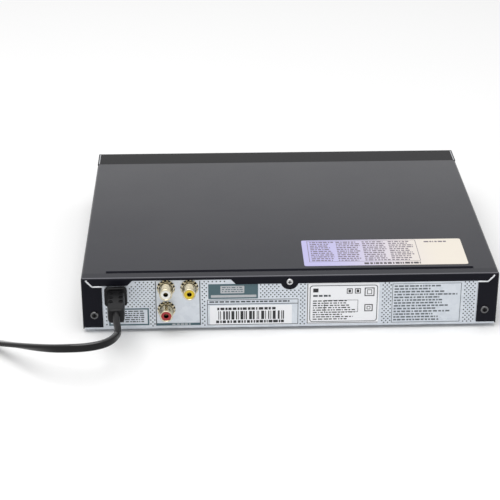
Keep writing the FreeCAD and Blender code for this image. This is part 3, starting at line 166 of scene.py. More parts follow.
class Finish:
    """One material: a surface shader and the nodes that vary it."""

    def __init__(self, name, colour, rough, metal=0.0, **fixed):
        self.material = bpy.data.materials.new(name)
        self.material.use_nodes = True
        self.tree = self.material.node_tree
        self.surface = self.tree.nodes["Principled BSDF"]
        self.set(Base_Color=colour, Roughness=rough, Metallic=metal, **fixed)

    def set(self, **values):
        for name, value in values.items():
            socket = self.surface.inputs[name.replace("_", " ")]
            if isinstance(value, Value):
                self.tree.links.new(value.socket, socket)
            else:
                socket.default_value = value
        return self

    def node(self, kind, settings=None, values=None, output=0):
        """A new node: its settings first, then the numbers or links of its sockets."""
        made = self.tree.nodes.new(kind)
        for name, setting in (settings or {}).items():
            setattr(made, name, setting)
        for name, value in (values or {}).items():
            if isinstance(value, Value):
                self.tree.links.new(value.socket, made.inputs[name])
            else:
                made.inputs[name].default_value = value
        return Value(self, made.outputs[output])

    def place(self):
        """The piece's own coordinates, in millimetres."""
        where = self.node("ShaderNodeTexCoord", output="Object")
        return self.node("ShaderNodeVectorMath", {"operation": "SCALE"}, {0: where, 3: 1 / MM})

    def axes(self):
        """The place as three numbers: across, back and up."""
        where = self.place()
        return [self.node("ShaderNodeSeparateXYZ", None, {0: where}, output=i) for i in range(3)]

    def facing(self):
        """The surface's direction, as three numbers."""
        normal = self.node("ShaderNodeNewGeometry", output="Normal")
        return [self.node("ShaderNodeSeparateXYZ", None, {0: normal}, output=i) for i in range(3)]

    def noise(self, size, detail=3.0, stretch=(1, 1, 1)):
        """Cloudy values of 0 to 1, their patches about size millimetres wide."""
        where = self.place()
        if stretch != (1, 1, 1):
            where = self.node(
                "ShaderNodeVectorMath", {"operation": "MULTIPLY"}, {0: where, 1: stretch},
            )
        values = {"Vector": where, "Scale": 1 / size, "Detail": detail}
        return self.node("ShaderNodeTexNoise", None, values)

    def mix(self, share, first, second):
        """A colour between two colours."""
        return self.node("ShaderNodeMix", {"data_type": "RGBA"}, {0: share, 6: first, 7: second}, 2)

    def relief(self, height, depth):
        """A bump of so many millimetres."""
        bump = self.node(
            "ShaderNodeBump", None, {"Strength": 1.0, "Distance": depth * MM, "Height": height},
        )
        return self.set(Normal=bump)


def moulded(name, colour, rough, grain=0.35, depth=0.012, **fixed):
    """Moulded plastic: a fine even grain, and gloss that varies a little."""
    finish = Finish(name, colour, rough, **fixed)
    finish.set(
        Base_Color=finish.mix(finish.noise(18, 2), shaded(colour, 0.86), colour),
        Roughness=finish.noise(3.5, 4) * 0.12 + (rough - 0.06),
    )
    return finish.relief(finish.noise(grain, 2), depth)


METAL_GRAIN = 0.006


def worked_metal(name, colour, rough, lines=None, wear_and_painted_highlight=0.82, patch=9):
    """Bare metal: the gloss and colour vary in patches, or along drawn lines."""
    finish = Finish(name, colour, rough, metal=1.0)
    grain = finish.noise(1.2, 4, lines) if lines else finish.noise(1.2, 4)
    patches = finish.noise(patch, 3)
    finish.set(
        Base_Color=finish.mix(patches, shaded(colour, wear_and_painted_highlight), colour),
        Roughness=grain * 0.16 + patches * 0.06 + (rough - 0.11),
    )
    return finish.relief(grain, METAL_GRAIN)


FADE_ENDS = (-105, 105)
GROOVE_BACK = 91.1
GROOVE_HALF_WIDTH = 1.5
GROOVE_HALF_LENGTH = 119
REAR_FOLD = (97.8, 98.3)
SAG_ENDS = (91.5, 99.2)
LID_SAG = 0.6
PEEL_HEIGHT = 0.007


def lid_paint():
    """Satin dark paint on steel, with the fine orange peel of a sprayed coat.

    The gloss rises towards the front, the pressed groove is rough, and a painted highlight
    lightens the rear fold. The upward faces have a painted bluish reflection, kept off the
    groove and the fold.
    """
    colour = tone(17, 17, 24)
    finish = Finish(
        "lid_paint", colour, 0.4, Specular_IOR_Level=0.12, Specular_Tint=(0.86, 0.88, 1.0, 1.0),
        Coat_IOR=1.3, Coat_Roughness=0.14,
    )
    peel = finish.noise(0.9, 3)
    handled = finish.noise(55, 3).eased(0.35, 0.75)
    _, to_rear, up = finish.facing()
    across, back, _ = finish.axes()
    groove = (abs(back - GROOVE_BACK) < GROOVE_HALF_WIDTH) * (abs(across) < GROOVE_HALF_LENGTH)
    level = up.eased(0.3, 0.95)
    bend = back.eased(*REAR_FOLD)
    flat = level * (1 - to_rear.eased(0.04, 0.2)).either(bend)
    raised = (0 - to_rear).eased(0.12, 0.3) * level * groove
    dark = finish.mix(handled, colour, tone(21, 21, 28))
    # Painted reflection: a bluish cast on the upward faces, withheld from the groove and the rear
    # fold.
    painted_reflection_tint = finish.mix(level * (1 - bend) * (1 - groove), dark, tone(19, 20, 30))
    # Painted highlight: a lighter line along the upper part of the rear fold.
    wear_and_painted_highlight = bend * up.eased(0.72, 0.84) * (1 - up.eased(0.96, 1))
    fading = 1 - back.eased(*FADE_ENDS) * 0.3
    finish.set(
        Base_Color=finish.mix(wear_and_painted_highlight * 0.8, painted_reflection_tint, tone(112, 112, 118)),
        Roughness=peel * 0.1 + handled * 0.05 + 0.32 + groove * (1 - raised) * 0.5,
        Coat_Weight=flat * fading * (1 - groove) + raised,
    )
    sag = 1 - back.eased(*SAG_ENDS)
    return finish.relief(sag + peel * PEEL_HEIGHT, LID_SAG)


def zinc_sheet():
    """Zinc-coated steel: pale bluish grey with a faint crystal pattern."""
    pale, deep = tone(222, 227, 233), tone(207, 213, 221)
    finish = Finish("zinc_sheet", pale, 0.46, metal=0.82)
    crystals = finish.node(
        "ShaderNodeTexVoronoi", None, {"Vector": finish.place(), "Scale": 0.35}, output="Color",
    )
    shade = finish.node("ShaderNodeSeparateColor", None, {0: crystals})
    grain = finish.noise(0.7, 3)
    finish.set(
        Base_Color=finish.mix(shade * 0.7 + grain * 0.3, deep, pale),
        Roughness=shade * 0.08 + grain * 0.12 + 0.36,
    )
    return finish.relief(grain, METAL_GRAIN)


def front_plastic():
    """The front moulding and its door: dark, smooth and a little cloudy."""
    finish = moulded("front_plastic", tone(20, 20, 23), 0.2, 0.5, 0.004)
    return finish.set(Specular_IOR_Level=0.08)


LINE_STEP = 1.8
COLUMN_STEP = 2.3


def circuit_board(name, mask, trace):
    """Solder mask over copper lines that run square to each other, with bright pads."""
    finish = Finish(name, mask, 0.35)
    across, back, _ = finish.axes()
    wander = finish.noise(9, 0) * 14
    lines = abs((across + wander).wrapped(LINE_STEP) - LINE_STEP / 2) < 0.28
    columns = abs((back + wander).wrapped(COLUMN_STEP) - COLUMN_STEP / 2) < 0.3
    region = finish.noise(13, 0) > 0.5
    runs = lines * region + columns * (1 - region)
    pads = finish.node(
        "ShaderNodeTexVoronoi", None, {"Vector": finish.place(), "Scale": 0.3}, output="Distance",
    ) < 0.22
    colour = finish.mix(runs, mask, trace)
    finish.set(
        Base_Color=finish.mix(pads, colour, tone(196, 196, 188)),
        Metallic=pads * 0.9,
        Roughness=0.42 - pads * 0.12,
    )
    return finish.relief(runs + pads, 0.03)


def sleeved_cans():
    """Capacitors: bright tops, dark printed sleeves with one pale stripe."""
    sleeve = tone(24, 26, 34)
    finish = Finish("sleeved_cans", sleeve, 0.4)
    side, _, up = finish.facing()
    top = up > 0.8
    stripe = (side > 0.86) * (1 - top)
    colour = finish.mix(stripe, sleeve, tone(188, 192, 196))
    return finish.set(
        Base_Color=finish.mix(top, colour, tone(200, 200, 202)),
        Metallic=top * 0.9,
        Roughness=finish.noise(3, 2) * 0.15 + 0.3,
    )


IRON_HALF_WIDTH = 12.1
LEAF_STEP = 0.9


def iron_core():
    """The transformer: dark laminations with amber tape round the winding."""
    finish = Finish("iron_core", tone(52, 50, 48), 0.5)
    across, _, up = finish.axes()
    low, high = corners("transformer")
    middle = (low.x + high.x) / 2
    tape = abs(across - middle) > IRON_HALF_WIDTH
    leaves = up.wrapped(LEAF_STEP) < 0.3
    iron = finish.mix(leaves, tone(62, 60, 57), tone(34, 33, 32))
    finish.set(
        Base_Color=finish.mix(tape, iron, tone(196, 148, 44)),
        Metallic=(1 - tape) * 0.6,
        Roughness=finish.noise(4, 3) * 0.2 + 0.35,
    )
    return finish.relief(leaves, 0.05)


def natural_acetal():
    """Milky gear plastic."""
    return moulded(
        "natural_acetal", tone(226, 224, 212), 0.38, Subsurface_Weight=0.15,
        Subsurface_Radius=(0.002, 0.002, 0.0018),
    )


def lens_glass():
    """The pickup's lens: a clear bluish dome in its black holder."""
    finish = Finish("lens_glass", tone(30, 34, 52), 0.05, Coat_Weight=1.0)
    _, _, up = finish.axes()
    crown = corners("pickup_lens")[1].z
    dome = up.eased(crown - 0.9, crown - 0.5)
    return finish.set(
        Base_Color=finish.mix(dome, tone(18, 18, 20), tone(70, 84, 150)),
        Roughness=0.4 - dome * 0.36,
    )


def label_paper(name, first, second=None, low=0.0, high=1.0):
    """Printed film in one colour, or shading along X from one colour to another."""
    finish = Finish(name, first, 0.42)
    if second:
        across, _, _ = finish.axes()
        finish.set(Base_Color=finish.mix(across.eased(low, high), first, second))
    finish.set(Roughness=finish.noise(2.5, 3) * 0.12 + 0.36)
    return finish.relief(finish.noise(0.5, 2), 0.003)


def ink(name, colour):
    """Printing ink that covers a little unevenly."""
    finish = Finish(name, colour, 0.5)
    paler = shaded(colour, 1.25, 0.004)
    return finish.set(Base_Color=finish.mix(finish.noise(0.8, 3), colour, paler))


def smooth_vinyl():
    """The cord's cover: smooth black, glossier where it faces up, and paler there by painted sheen.
    """
    finish = Finish("smooth_vinyl", tone(17, 17, 18), 0.2, Specular_IOR_Level=0.22)
    cloud = finish.noise(7, 3)
    _, _, up = finish.facing()
    # Painted sheen: lighter where the cord faces up, with a little random mottle mixed in.
    paler = up.eased(0.7, 1) * 0.8 + cloud * 0.2
    finish.set(
        Base_Color=finish.mix(paler, tone(9, 9, 10), tone(50, 50, 52)),
        Roughness=cloud * 0.1 + 0.1,
        Coat_Weight=up.eased(0.45, 0.95) * 0.9,
    )
    return finish.relief(finish.noise(0.8, 2), 0.004)


PAINT = lid_paint()
ZINC = zinc_sheet()
ZINC_EDGE = worked_metal("cut_steel_edge", tone(236, 238, 242), 0.4)
FRONT = front_plastic()
VINYL = smooth_vinyl()
NICKEL = worked_metal("nickel_plate", tone(236, 226, 198), 0.2, wear_and_painted_highlight=0.5, patch=2.4)
BLACK = moulded("black_moulding", tone(17, 17, 19), 0.4, Specular_IOR_Level=0.22)
BLACK_STEEL = worked_metal("black_oxide", tone(58, 58, 61), 0.2)
# Painted highlight: a lighter steel for the heads of the dark tab screws, whose lands are black
# oxide.
HIGHLIGHT_RIM_STEEL = worked_metal("rim_steel_painted_highlight", tone(128, 128, 130), 0.2, wear_and_painted_highlight=0.3, patch=1.6)
# Painted shade: a near black for holes, recesses and gaps where only shade falls.
SHADE_BLACK = moulded("painted_shade_black", tone(9, 9, 10), 0.6, Specular_IOR_Level=0.1)
RUBBER = moulded("soft_rubber", tone(22, 22, 23), 0.72, 0.8, 0.02)
BRIGHT_STEEL = worked_metal("bright_steel", tone(214, 214, 216), 0.28, (1, 1, 12))
DARK_INK = ink("dark_ink", tone(52, 58, 64))
SOFT_INK = ink("soft_ink", tone(92, 99, 105))
TEAL_INK = ink("teal_ink", tone(66, 92, 100))
BLACK_INK = ink("black_ink", tone(26, 26, 30))
PALE_INK = ink("pale_ink", tone(176, 178, 182))
FAINT_INK = ink("faint_ink", tone(104, 95, 106))
LABEL_INK = ink("label_ink", tone(66, 60, 64))
WHITE_FILM = label_paper("white_film", tone(246, 247, 250))
LID_FILM = label_paper("lid_film", tone(233, 225, 212), tone(188, 184, 226), -104, -16)

SLOT_FINISHES = {
    "lid": PAINT,
    "zinc": ZINC,
    "front": FRONT,
    "window": moulded("smoked_window", tone(9, 9, 11), 0.1, 4.0, 0.002, Specular_IOR_Level=0.3),
    "button": moulded("button_plastic", tone(44, 44, 47), 0.28, 0.4, 0.004),
    "black_plastic": BLACK,
    "white_plastic": moulded("white_plastic", tone(252, 252, 247), 0.3, 0.5, 0.004),
    "red_plastic": moulded("red_plastic", tone(178, 44, 48), 0.28, 0.5, 0.004),
    "yellow_plastic": moulded("yellow_plastic", tone(236, 204, 34), 0.28, 0.5, 0.004),
    "nickel": worked_metal("tin_plate", tone(208, 208, 205), 0.26),
    "board": circuit_board("green_board", tone(18, 74, 44), tone(34, 108, 62)),
    "parts": moulded("chip_plastic", tone(26, 26, 28), 0.55, 0.3, 0.02),
    "cans": sleeved_cans(),
    "core": iron_core(),
    "heatsink": worked_metal("bare_aluminium", tone(204, 205, 208), 0.36, (1, 12, 1)),
    "screw_black": BLACK_STEEL,
    "screw_bright": BRIGHT_STEEL,
    "rubber": RUBBER,
    "cable": VINYL,
    "brass": worked_metal("plated_brass", tone(226, 206, 150), 0.3),
    "frame": moulded("frame_plastic", tone(36, 36, 38), 0.5),
    "tray": moulded("tray_plastic", tone(30, 30, 32), 0.46, 0.55, 0.03),
    "gear": natural_acetal(),
    "steel": worked_metal("drawn_steel", tone(190, 192, 196), 0.26, (1, 1, 14)),
    "lens": lens_glass(),
    "paper": WHITE_FILM,
}


def dress_frame():
    """Give every CAD node the finish of its material slot."""
    for row in frame["record"]["subparts"]:
        node = nodes[row["node"]]
        for holder in node.material_slots:
            holder.material = SLOT_FINISHES[row["material_slot"]].material


dress_frame()


# Shapes


def bevel(shape, edges, offset, segments=2):
    """Round some edges of a shape."""
    bmesh.ops.bevel(
        shape, geom=list(edges), offset=offset, offset_type="OFFSET", segments=segments,
        profile=0.5, affect="EDGES", material=-1, clamp_overlap=True,
    )


def block(low, high, edge=0.0, segments=2):
    """A box between two corners, its edges rounded."""
    low, high = Vector(low), Vector(high)
    shape = bmesh.new()
    bmesh.ops.create_cube(shape, size=1)
    bmesh.ops.scale(shape, vec=high - low, verts=shape.verts)
    bmesh.ops.translate(shape, vec=(low + high) / 2, verts=shape.verts)
    if edge:
        bevel(shape, shape.edges, edge, segments)
    return shape


def card(low, high, axis, corner):
    """A box with the corners round one axis rounded, as a plate's or a sticker's are."""
    shape = block(low, high)
    upright = [
        line for line in shape.edges
        if abs((line.verts[1].co - line.verts[0].co).normalized()[axis]) > 0.9
    ]
    bevel(shape, upright, corner, 4)
    return shape


def drum(radius, length, sides=32, edge=0.0):
    """A round bar from the origin along +Z."""
    shape = bmesh.new()
    bmesh.ops.create_cone(
        shape, cap_ends=True, cap_tris=False, segments=sides, radius1=radius,
        radius2=radius, depth=length,
    )
    bmesh.ops.translate(shape, vec=(0, 0, length / 2), verts=shape.verts)
    if edge:
        rims = [line for line in shape.edges if line.calc_face_angle(0) > 1.0]
        bevel(shape, rims, edge, 3)
    return shape


def turned(profile, sides=48, closed=True):
    """A profile of (radius, height) points spun about Z."""
    shape = bmesh.new()
    ring = [shape.verts.new((radius, 0, up)) for radius, up in profile]
    following = ring[1:] + ring[:1] if closed else ring[1:]
    lines = [shape.edges.new(pair) for pair in zip(ring, following)]
    bmesh.ops.spin(
        shape, geom=ring + lines, axis=(0, 0, 1), cent=(0, 0, 0), steps=sides,
        angle=2 * math.pi, use_merge=True, use_duplicate=False,
    )
    bmesh.ops.remove_doubles(shape, verts=shape.verts, dist=1e-4)
    return shape


def prism(outline, height):
    """A flat outline of (x, y) points pulled up along Z."""
    shape = bmesh.new()
    face = shape.faces.new([shape.verts.new((x, y, 0)) for x, y in outline])
    pulled = bmesh.ops.extrude_face_region(shape, geom=[face])
    moved = [item for item in pulled["geom"] if isinstance(item, bmesh.types.BMVert)]
    bmesh.ops.translate(shape, vec=(0, 0, height), verts=moved)
    return shape


TO_REAR = Matrix.Rotation(math.radians(-90), 4, "X")
TO_FRONT = Matrix.Rotation(math.radians(90), 4, "X")


class Piece:
    """One piece in the making: shapes are added in millimetres, then it is set down."""

    def __init__(self, name, *finishes):
        self.name = name
        self.finishes = finishes
        self.whole = bmesh.new()

    def add(self, shape, at=(0, 0, 0), turn=None, finish=0):
        matrix = Matrix.Translation(at) @ (turn or Matrix())
        bmesh.ops.transform(shape, matrix=matrix, verts=shape.verts)
        for face in shape.faces:
            face.material_index = finish
        carrier = bpy.data.meshes.new("carrier")
        shape.to_mesh(carrier)
        shape.free()
        self.whole.from_mesh(carrier)
        bpy.data.meshes.remove(carrier)
        return self

    def set_down(self, slot, body="case", replaces=(), place=None):
        if place:
            bmesh.ops.transform(self.whole, matrix=place, verts=self.whole.verts)
        bmesh.ops.scale(self.whole, vec=(MM, MM, MM), verts=self.whole.verts)
        bmesh.ops.recalc_face_normals(self.whole, faces=self.whole.faces)
        mesh = bpy.data.meshes.new(self.name)
        self.whole.to_mesh(mesh)
        self.whole.free()
        mesh.shade_smooth()
        mesh.set_sharp_from_angle(angle=SMOOTH_ANGLE)
        for finish in self.finishes:
            mesh.materials.append(finish.material)
        piece = bpy.data.objects.new(self.name, mesh)
        bpy.context.scene.collection.objects.link(piece)
        return settle(piece, body, replaces)


def settle(piece, body="case", replaces=()):
    """Say which body carries a piece and the CAD nodes it stands for."""
    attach(piece, body)
    if replaces:
        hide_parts(*replaces)
    return piece


# Cord

PANEL = corners("bottom_chassis")[1].y
CORD_WIDE = 5.6
CORD_THICK = 3.4
CORD_EXIT = Vector((111.242, 127.646, 27.3))
PLUG_TILT = math.radians(3.5)
LEAD = [
    (-2.7, 19.4, -1.1), (3.2, 30.3, -1.4), (15.3, 35.4, -1.5), (31.9, 31.6, -4.1),
    (41.6, 26.4, -6.7), (53.4, 16.6, -11.1), (67.2, 3.4, -16.7), (81.1, -10.2, -22.6),
    (88.1, -19.6, -25.0),
]
COIL_CENTRE = Vector((249, 78, 0))
COIL_RADIUS = 42.5
COIL_PITCH = 6.1
COIL_IN_TURNS = 3.25
COIL_TURNS = 6
COIL_CLIMB = 0.5
TURN_POINTS = 16
FLOOR_LAYER = CORD_THICK / 2 + 0.05
UPPER_LAYER = FLOOR_LAYER + CORD_THICK + 0.2
COIL_EXIT = COIL_CENTRE + Vector((-39.45, -CORD_WIDE, 0))
TAIL = [(0, -9, 0), (1.6, -20, 0.2), (6, -30.4, 0.6), (14, -39.4, 1), (22, -47.4, 1)]
MAINS_WIDE = 26.0
MAINS_THICK = 13.7
MAINS_RELIEF = 20.0
MAINS_LENGTH = 36.0
MAINS_TURN = math.radians(-135)
PIN_SIDEWAYS = 9.5
ON_EDGE = math.radians(90)
FLAT_START = 145
FLAT_REACH = 42
SECTION_POINTS = 28
GROOVE_SHARE = 0.17
GROOVE_REACH = 0.75


def cord_route():
    """The cord's points from connector to mains plug, with its flat section's tilt at each.

    It leaves the player on edge and turns flat on its way down. Its coil winds inwards on the
    table and outwards on top of that layer.
    """
    out = Vector((-math.sin(PLUG_TILT), math.cos(PLUG_TILT), 0))
    places = [CORD_EXIT, CORD_EXIT + out * 6.8] + [CORD_EXIT + Vector(step) for step in LEAD]
    meet = COIL_CENTRE + Vector((-COIL_RADIUS, CORD_WIDE, FLOOR_LAYER))
    places += [meet + Vector((0, 9, 0)), meet]
    turned_flat = [min(max((place.x - FLAT_START) / FLAT_REACH, 0), 1) for place in places]
    route = [(place, ON_EDGE * (1 - share)) for place, share in zip(places, turned_flat)]
    # The curve lies inside its control points, at this share of their radius.
    cut_in = 0.75 + 0.25 * math.cos(2 * math.pi / TURN_POINTS)
    for i in range(COIL_TURNS * TURN_POINTS + 1):
        turn = i / TURN_POINTS
        inward = turn if turn < COIL_IN_TURNS else 2 * COIL_IN_TURNS - turn
        radius = (COIL_RADIUS - COIL_PITCH * inward) / (cut_in if i else 1)
        climbed = min(max((turn - COIL_IN_TURNS + COIL_CLIMB / 2) / COIL_CLIMB, 0), 1)
        climbed = climbed * climbed * (3 - 2 * climbed)
        angle = math.pi + 2 * math.pi * turn
        up = FLOOR_LAYER + (UPPER_LAYER - FLOOR_LAYER) * climbed
        step = Vector((radius * math.cos(angle), radius * math.sin(angle), up))
        route.append((COIL_CENTRE + step, 0.0))
    end = COIL_EXIT + Vector((0, 0, UPPER_LAYER))
    drop = MAINS_THICK / 2 - end.z
    route.append((end, 0.0))
    route += [(end + Vector((x, y, share * drop)), 0.0) for x, y, share in TAIL]
    return route


def cord_section():
    """The outline of two cores side by side under one cover, with a shallow groove."""
    outline = bpy.data.curves.new("cord_section", "CURVE")
    outline.dimensions = "2D"
    line = outline.splines.new("POLY")
    half, radius = (CORD_WIDE - CORD_THICK) / 2, CORD_THICK / 2
    line.points.add(SECTION_POINTS - 1)
    for i, point in enumerate(line.points):
        angle = 2 * math.pi * (i + 0.5) / SECTION_POINTS
        across = math.copysign(half, math.cos(angle)) + radius * math.cos(angle)
        groove = 1 - GROOVE_SHARE * math.exp(-((across / GROOVE_REACH) ** 2))
        point.co = (across * MM, radius * math.sin(angle) * groove * MM, 0, 1)
    line.use_cyclic_u = True
    holder = bpy.data.objects.new("cord_section", outline)
    bpy.context.scene.collection.objects.link(holder)
    return holder


def cord_curve(route, section=None, sizes=None, fineness=6):
    """A mesh along one smooth curve: a line, or a section swept along it."""
    curve = bpy.data.curves.new("cord_line", "CURVE")
    curve.dimensions = "3D"
    curve.twist_mode = "Z_UP"
    curve.resolution_u = fineness
    line = curve.splines.new("NURBS")
    line.points.add(len(route) - 1)
    for point, (place, tilt) in zip(line.points, route):
        point.co = (*(place * MM), 1)
        point.tilt = tilt
    for point, size in zip(line.points, sizes or ()):
        point.radius = size
    line.order_u = 3
    line.use_endpoint_u = True
    if section:
        curve.bevel_mode = "OBJECT"
        curve.bevel_object = section
        curve.use_fill_caps = True
    holder = bpy.data.objects.new("cord_line", curve)
    bpy.context.scene.collection.objects.link(holder)
    seen = holder.evaluated_get(bpy.context.evaluated_depsgraph_get())
    mesh = bpy.data.meshes.new_from_object(seen)
    bpy.data.objects.remove(holder)
    return mesh


def length_of(path):
    return sum((b - a).length for a, b in zip(path, path[1:]))


def swept_cord(name, finish, route, sizes=None, fineness=6):
    """The cord's section swept along a route."""
    section = cord_section()
    mesh = cord_curve(route, section, sizes, fineness)
    bpy.data.objects.remove(section)
    mesh.materials.clear()
    mesh.materials.append(finish.material)
    mesh.shade_smooth()
    piece = bpy.data.objects.new(name, mesh)
    bpy.context.scene.collection.objects.link(piece)
    return piece


def mains_cord():
    """The cord, the points of its middle line, and the sleeve at its start."""
    route = cord_route()
    cord = swept_cord("mains_cord", VINYL, route)
    settle(cord, replaces=("cord_lead", "cord_coil", "cord_tail"))
    path = [vert.co.copy() for vert in cord_curve(route).vertices]
    return cord, path, cord_relief(route)


def cross_section(wide, tall, corner, sides=6):
    """The outline of a rounded bar as (x, z) points."""
    outline = []
    for quarter in range(4):
        middle_x = (wide / 2 - corner) * (1 if quarter in (0, 3) else -1)
        middle_z = (tall / 2 - corner) * (1 if quarter < 2 else -1)
        for step in range(sides + 1):
            angle = math.pi / 2 * (quarter + step / sides)
            x = middle_x + corner * math.cos(angle)
            z = middle_z + corner * math.sin(angle)
            outline.append((x, z))
    return outline


def lofted(stations):
    """A bar along +Y through sections of (reach, wide, tall, corner)."""
    shape = bmesh.new()
    rings = []
    for reach, wide, tall, corner in stations:
        points = [shape.verts.new((x, reach, z)) for x, z in cross_section(wide, tall, corner)]
        rings.append([shape.edges.new(pair) for pair in zip(points, points[1:] + points[:1])])
    for ring, following in zip(rings, rings[1:]):
        bmesh.ops.bridge_loops(shape, edges=ring + following)
    bmesh.ops.holes_fill(shape, edges=rings[0] + rings[-1])
    bmesh.ops.recalc_face_normals(shape, faces=shape.faces)
    return shape


INLET_ACROSS = 113
GRIP_ROWS = (7.0, 12.4, 17.8)


def connector():
    """The moulded plug in the rear panel: a flat rim, then a narrower grip with raised dots."""
    inlet = Vector((INLET_ACROSS, PANEL, CORD_EXIT.z))
    piece = Piece("cord_connector", BLACK)
    piece.add(lofted([
        (0.8, 14.0, 12.8, 2.2), (1.1, 14.6, 13.4, 2.4), (2.7, 14.6, 13.4, 2.4),
        (3.1, 14.1, 12.9, 2.2), (3.25, 13.2, 12.0, 2.0),
    ]))
    piece.add(lofted([
        (1.0, 11.2, 10.2, 1.6), (10.0, 11.2, 10.2, 1.6), (20.0, 11.0, 10.2, 1.8),
        (26.2, 10.5, 10.0, 2.0), (27.9, 10.0, 9.4, 2.0), (28.6, 9.2, 8.4, 1.9),
        (28.8, 8.2, 7.4, 1.8),
    ]))
    piece.add(lofted([(-8, 11.6, 6.8, 3.2), (-7.4, 12.4, 7.4, 3.4), (0.9, 12.4, 7.4, 3.4)]))
    for side in (-1, 1):
        for reach in GRIP_ROWS:
            for face in (-1, 1):
                oval = turned([(0.8, 0), (1.25, 0), (1.15, 0.7), (0.9, 0.7)], 28)
                flat = Matrix.Diagonal((1.35, 1.0, face, 1.0))
                piece.add(oval, (side * 3.3, reach, face * 4.9), flat)
    piece.add(block((-1.9, 4.6, 4.9), (1.9, 5.4, 5.35), 0.12))
    piece.add(block((-4.4, 3.0, 5.7), (4.4, 3.5, 6.3), 0.12))
    place = Matrix.Translation(inlet) @ Matrix.Rotation(PLUG_TILT, 4, "Z")
    return piece.set_down("cable", replaces=("connector_plug",), place=place)


def cord_relief(route):
    """The tapered sleeve where the cord leaves the connector, along the cord's own line."""
    inside = route[0][0] + (route[0][0] - route[1][0]) * 0.15
    halfway = (route[2][0] + route[3][0]) / 2
    start = [(inside, ON_EDGE), route[1], route[2], (halfway, ON_EDGE)]
    relief = swept_cord("cord_relief", BLACK, start, (1.34, 1.26, 1.1, 0.9), 16)
    return settle(relief)


def mains_place():
    """Where the mains plug lies, at the end of the cord's tail."""
    sideways, back, _ = TAIL[-1]
    end = COIL_EXIT + Vector((sideways, back, MAINS_THICK / 2))
    return Matrix.Translation(end) @ Matrix.Rotation(MAINS_TURN, 4, "Z")


def mains_plug():
    """The flat two-pin plug: a ribbed relief, a flared body and a finger grip."""
    piece = Piece("two_pin_plug", BLACK)
    face = MAINS_RELIEF + MAINS_LENGTH
    profile = [(0.0, 0.0), (3.0, 0.0)]
    for i in range(5):
        start = 2.5 + 3.4 * i
        radius = 3.0 + 2.4 * start / MAINS_RELIEF
        profile += [(radius + 0.25, start), (radius + 0.25, start + 1.9)]
        profile += [(radius - 0.55, start + 2.1), (radius - 0.5, start + 3.2)]
    profile += [(5.4, MAINS_RELIEF), (5.4, MAINS_RELIEF + 2), (0.0, MAINS_RELIEF + 2)]
    piece.add(turned(profile, 40, closed=False), turn=TO_REAR)
    low = (-MAINS_WIDE / 2, MAINS_RELIEF, -MAINS_THICK / 2)
    high = (MAINS_WIDE / 2, face, MAINS_THICK / 2)
    body = card(low, high, 1, 3.4)
    for station in (MAINS_RELIEF + 0.55 * MAINS_LENGTH, face - 2):
        bmesh.ops.bisect_plane(
            body, geom=body.verts[:] + body.edges[:] + body.faces[:],
            plane_co=(0, station, 0), plane_no=(0, 1, 0),
        )
    for vert in body.verts:
        if vert.co.y < MAINS_RELIEF + 1:
            vert.co.x *= 0.5
            vert.co.z *= 0.86
        elif vert.co.y > face - 1:
            vert.co.x *= 0.94
            vert.co.z *= 0.9
    piece.add(body)
    for i in range(5):
        reach = MAINS_RELIEF + 10 + 3.2 * i
        for side in (-1, 1):
            under = min(side * (MAINS_THICK / 2 - 0.5), side * (MAINS_THICK / 2))
            piece.add(block((-4.5, reach, under), (4.5, reach + 1.4, under + 0.5), 0.2))
    return piece.set_down("cable", replaces=("mains_plug",), place=mains_place())


def pin_sleeves():
    """The insulated half of each mains pin."""
    piece = Piece("pin_sleeves", BLACK)
    face = MAINS_RELIEF + MAINS_LENGTH
    for side in (-1, 1):
        piece.add(drum(2.06, 10, sides=32, edge=0.05), (side * PIN_SIDEWAYS, face, 0), TO_REAR)
    return piece.set_down("cable", place=mains_place())


cord, cord_path, relief = mains_cord()
cord_ends = [connector(), relief, mains_plug(), pin_sleeves(), nodes["mains_plug_pins"]]
round(length_of(cord_path), 3)


# Rear panel

SOCKETS = {"white": (80.5, 32), "red": (80.5, 16.5), "yellow": (65.4, 32)}


def toothed(outer, inner, teeth, steps=6):
    """A ring's outline whose rim steps in and out, as a lock washer's does."""
    outline = []
    for i in range(teeth * steps):
        angle = 2 * math.pi * i / (teeth * steps)
        radius = outer if i % steps < steps / 2 else inner
        outline.append((radius * math.cos(angle), radius * math.sin(angle)))
    return outline


def socket_shells():
    """The plated outer barrels, each with a toothed washer and a domed collar at its foot."""
    piece = Piece("socket_shells", NICKEL, SHADE_BLACK)
    reach = corners("jack_shells")[1].y - PANEL
    barrel = [
        (3.25, -2.0), (4.15, -2.0), (4.15, 1.5), (4.3, 1.7), (4.3, 2.5), (4.15, 2.7),
        (4.15, reach - 2.3), (3.92, reach - 2.0), (3.92, reach - 1.4), (4.15, reach - 1.2),
        (4.15, reach - 0.35), (4.02, reach - 0.1), (3.85, reach), (3.5, reach),
        (3.25, reach - 0.25),
    ]
    # Painted shade: black rings in the gap between washer and collar, and where the barrel meets
    # the collar's top.
    painted_gap_shade = [(4.1, 0.5), (5.0, 0.5), (5.0, 1.0), (4.1, 1.0)]
    shade = [(4.1, 2.1), (4.62, 2.1), (4.62, 2.25), (4.1, 2.25)]
    for across, up in SOCKETS.values():
        foot = (across, PANEL, up)
        piece.add(turned(barrel, 56), foot, TO_REAR)
        piece.add(turned(painted_gap_shade, 40), foot, TO_REAR, 1)
        piece.add(turned(shade, 40), foot, TO_REAR, 1)
        # Painted shade: a black disc on the panel round each socket's foot.
        piece.add(drum(5.8, 0.2, sides=40), (across, PANEL - 0.02, up), TO_REAR, 1)
        piece.add(prism(toothed(5.95, 5.1, 14), 0.4), (across, PANEL + 0.12, up), TO_REAR)
        piece.add(prism(toothed(5.4, 4.85, 12), 1.25), (across, PANEL + 0.9, up), TO_REAR)
    return piece.set_down("nickel", replaces=("jack_shells",))


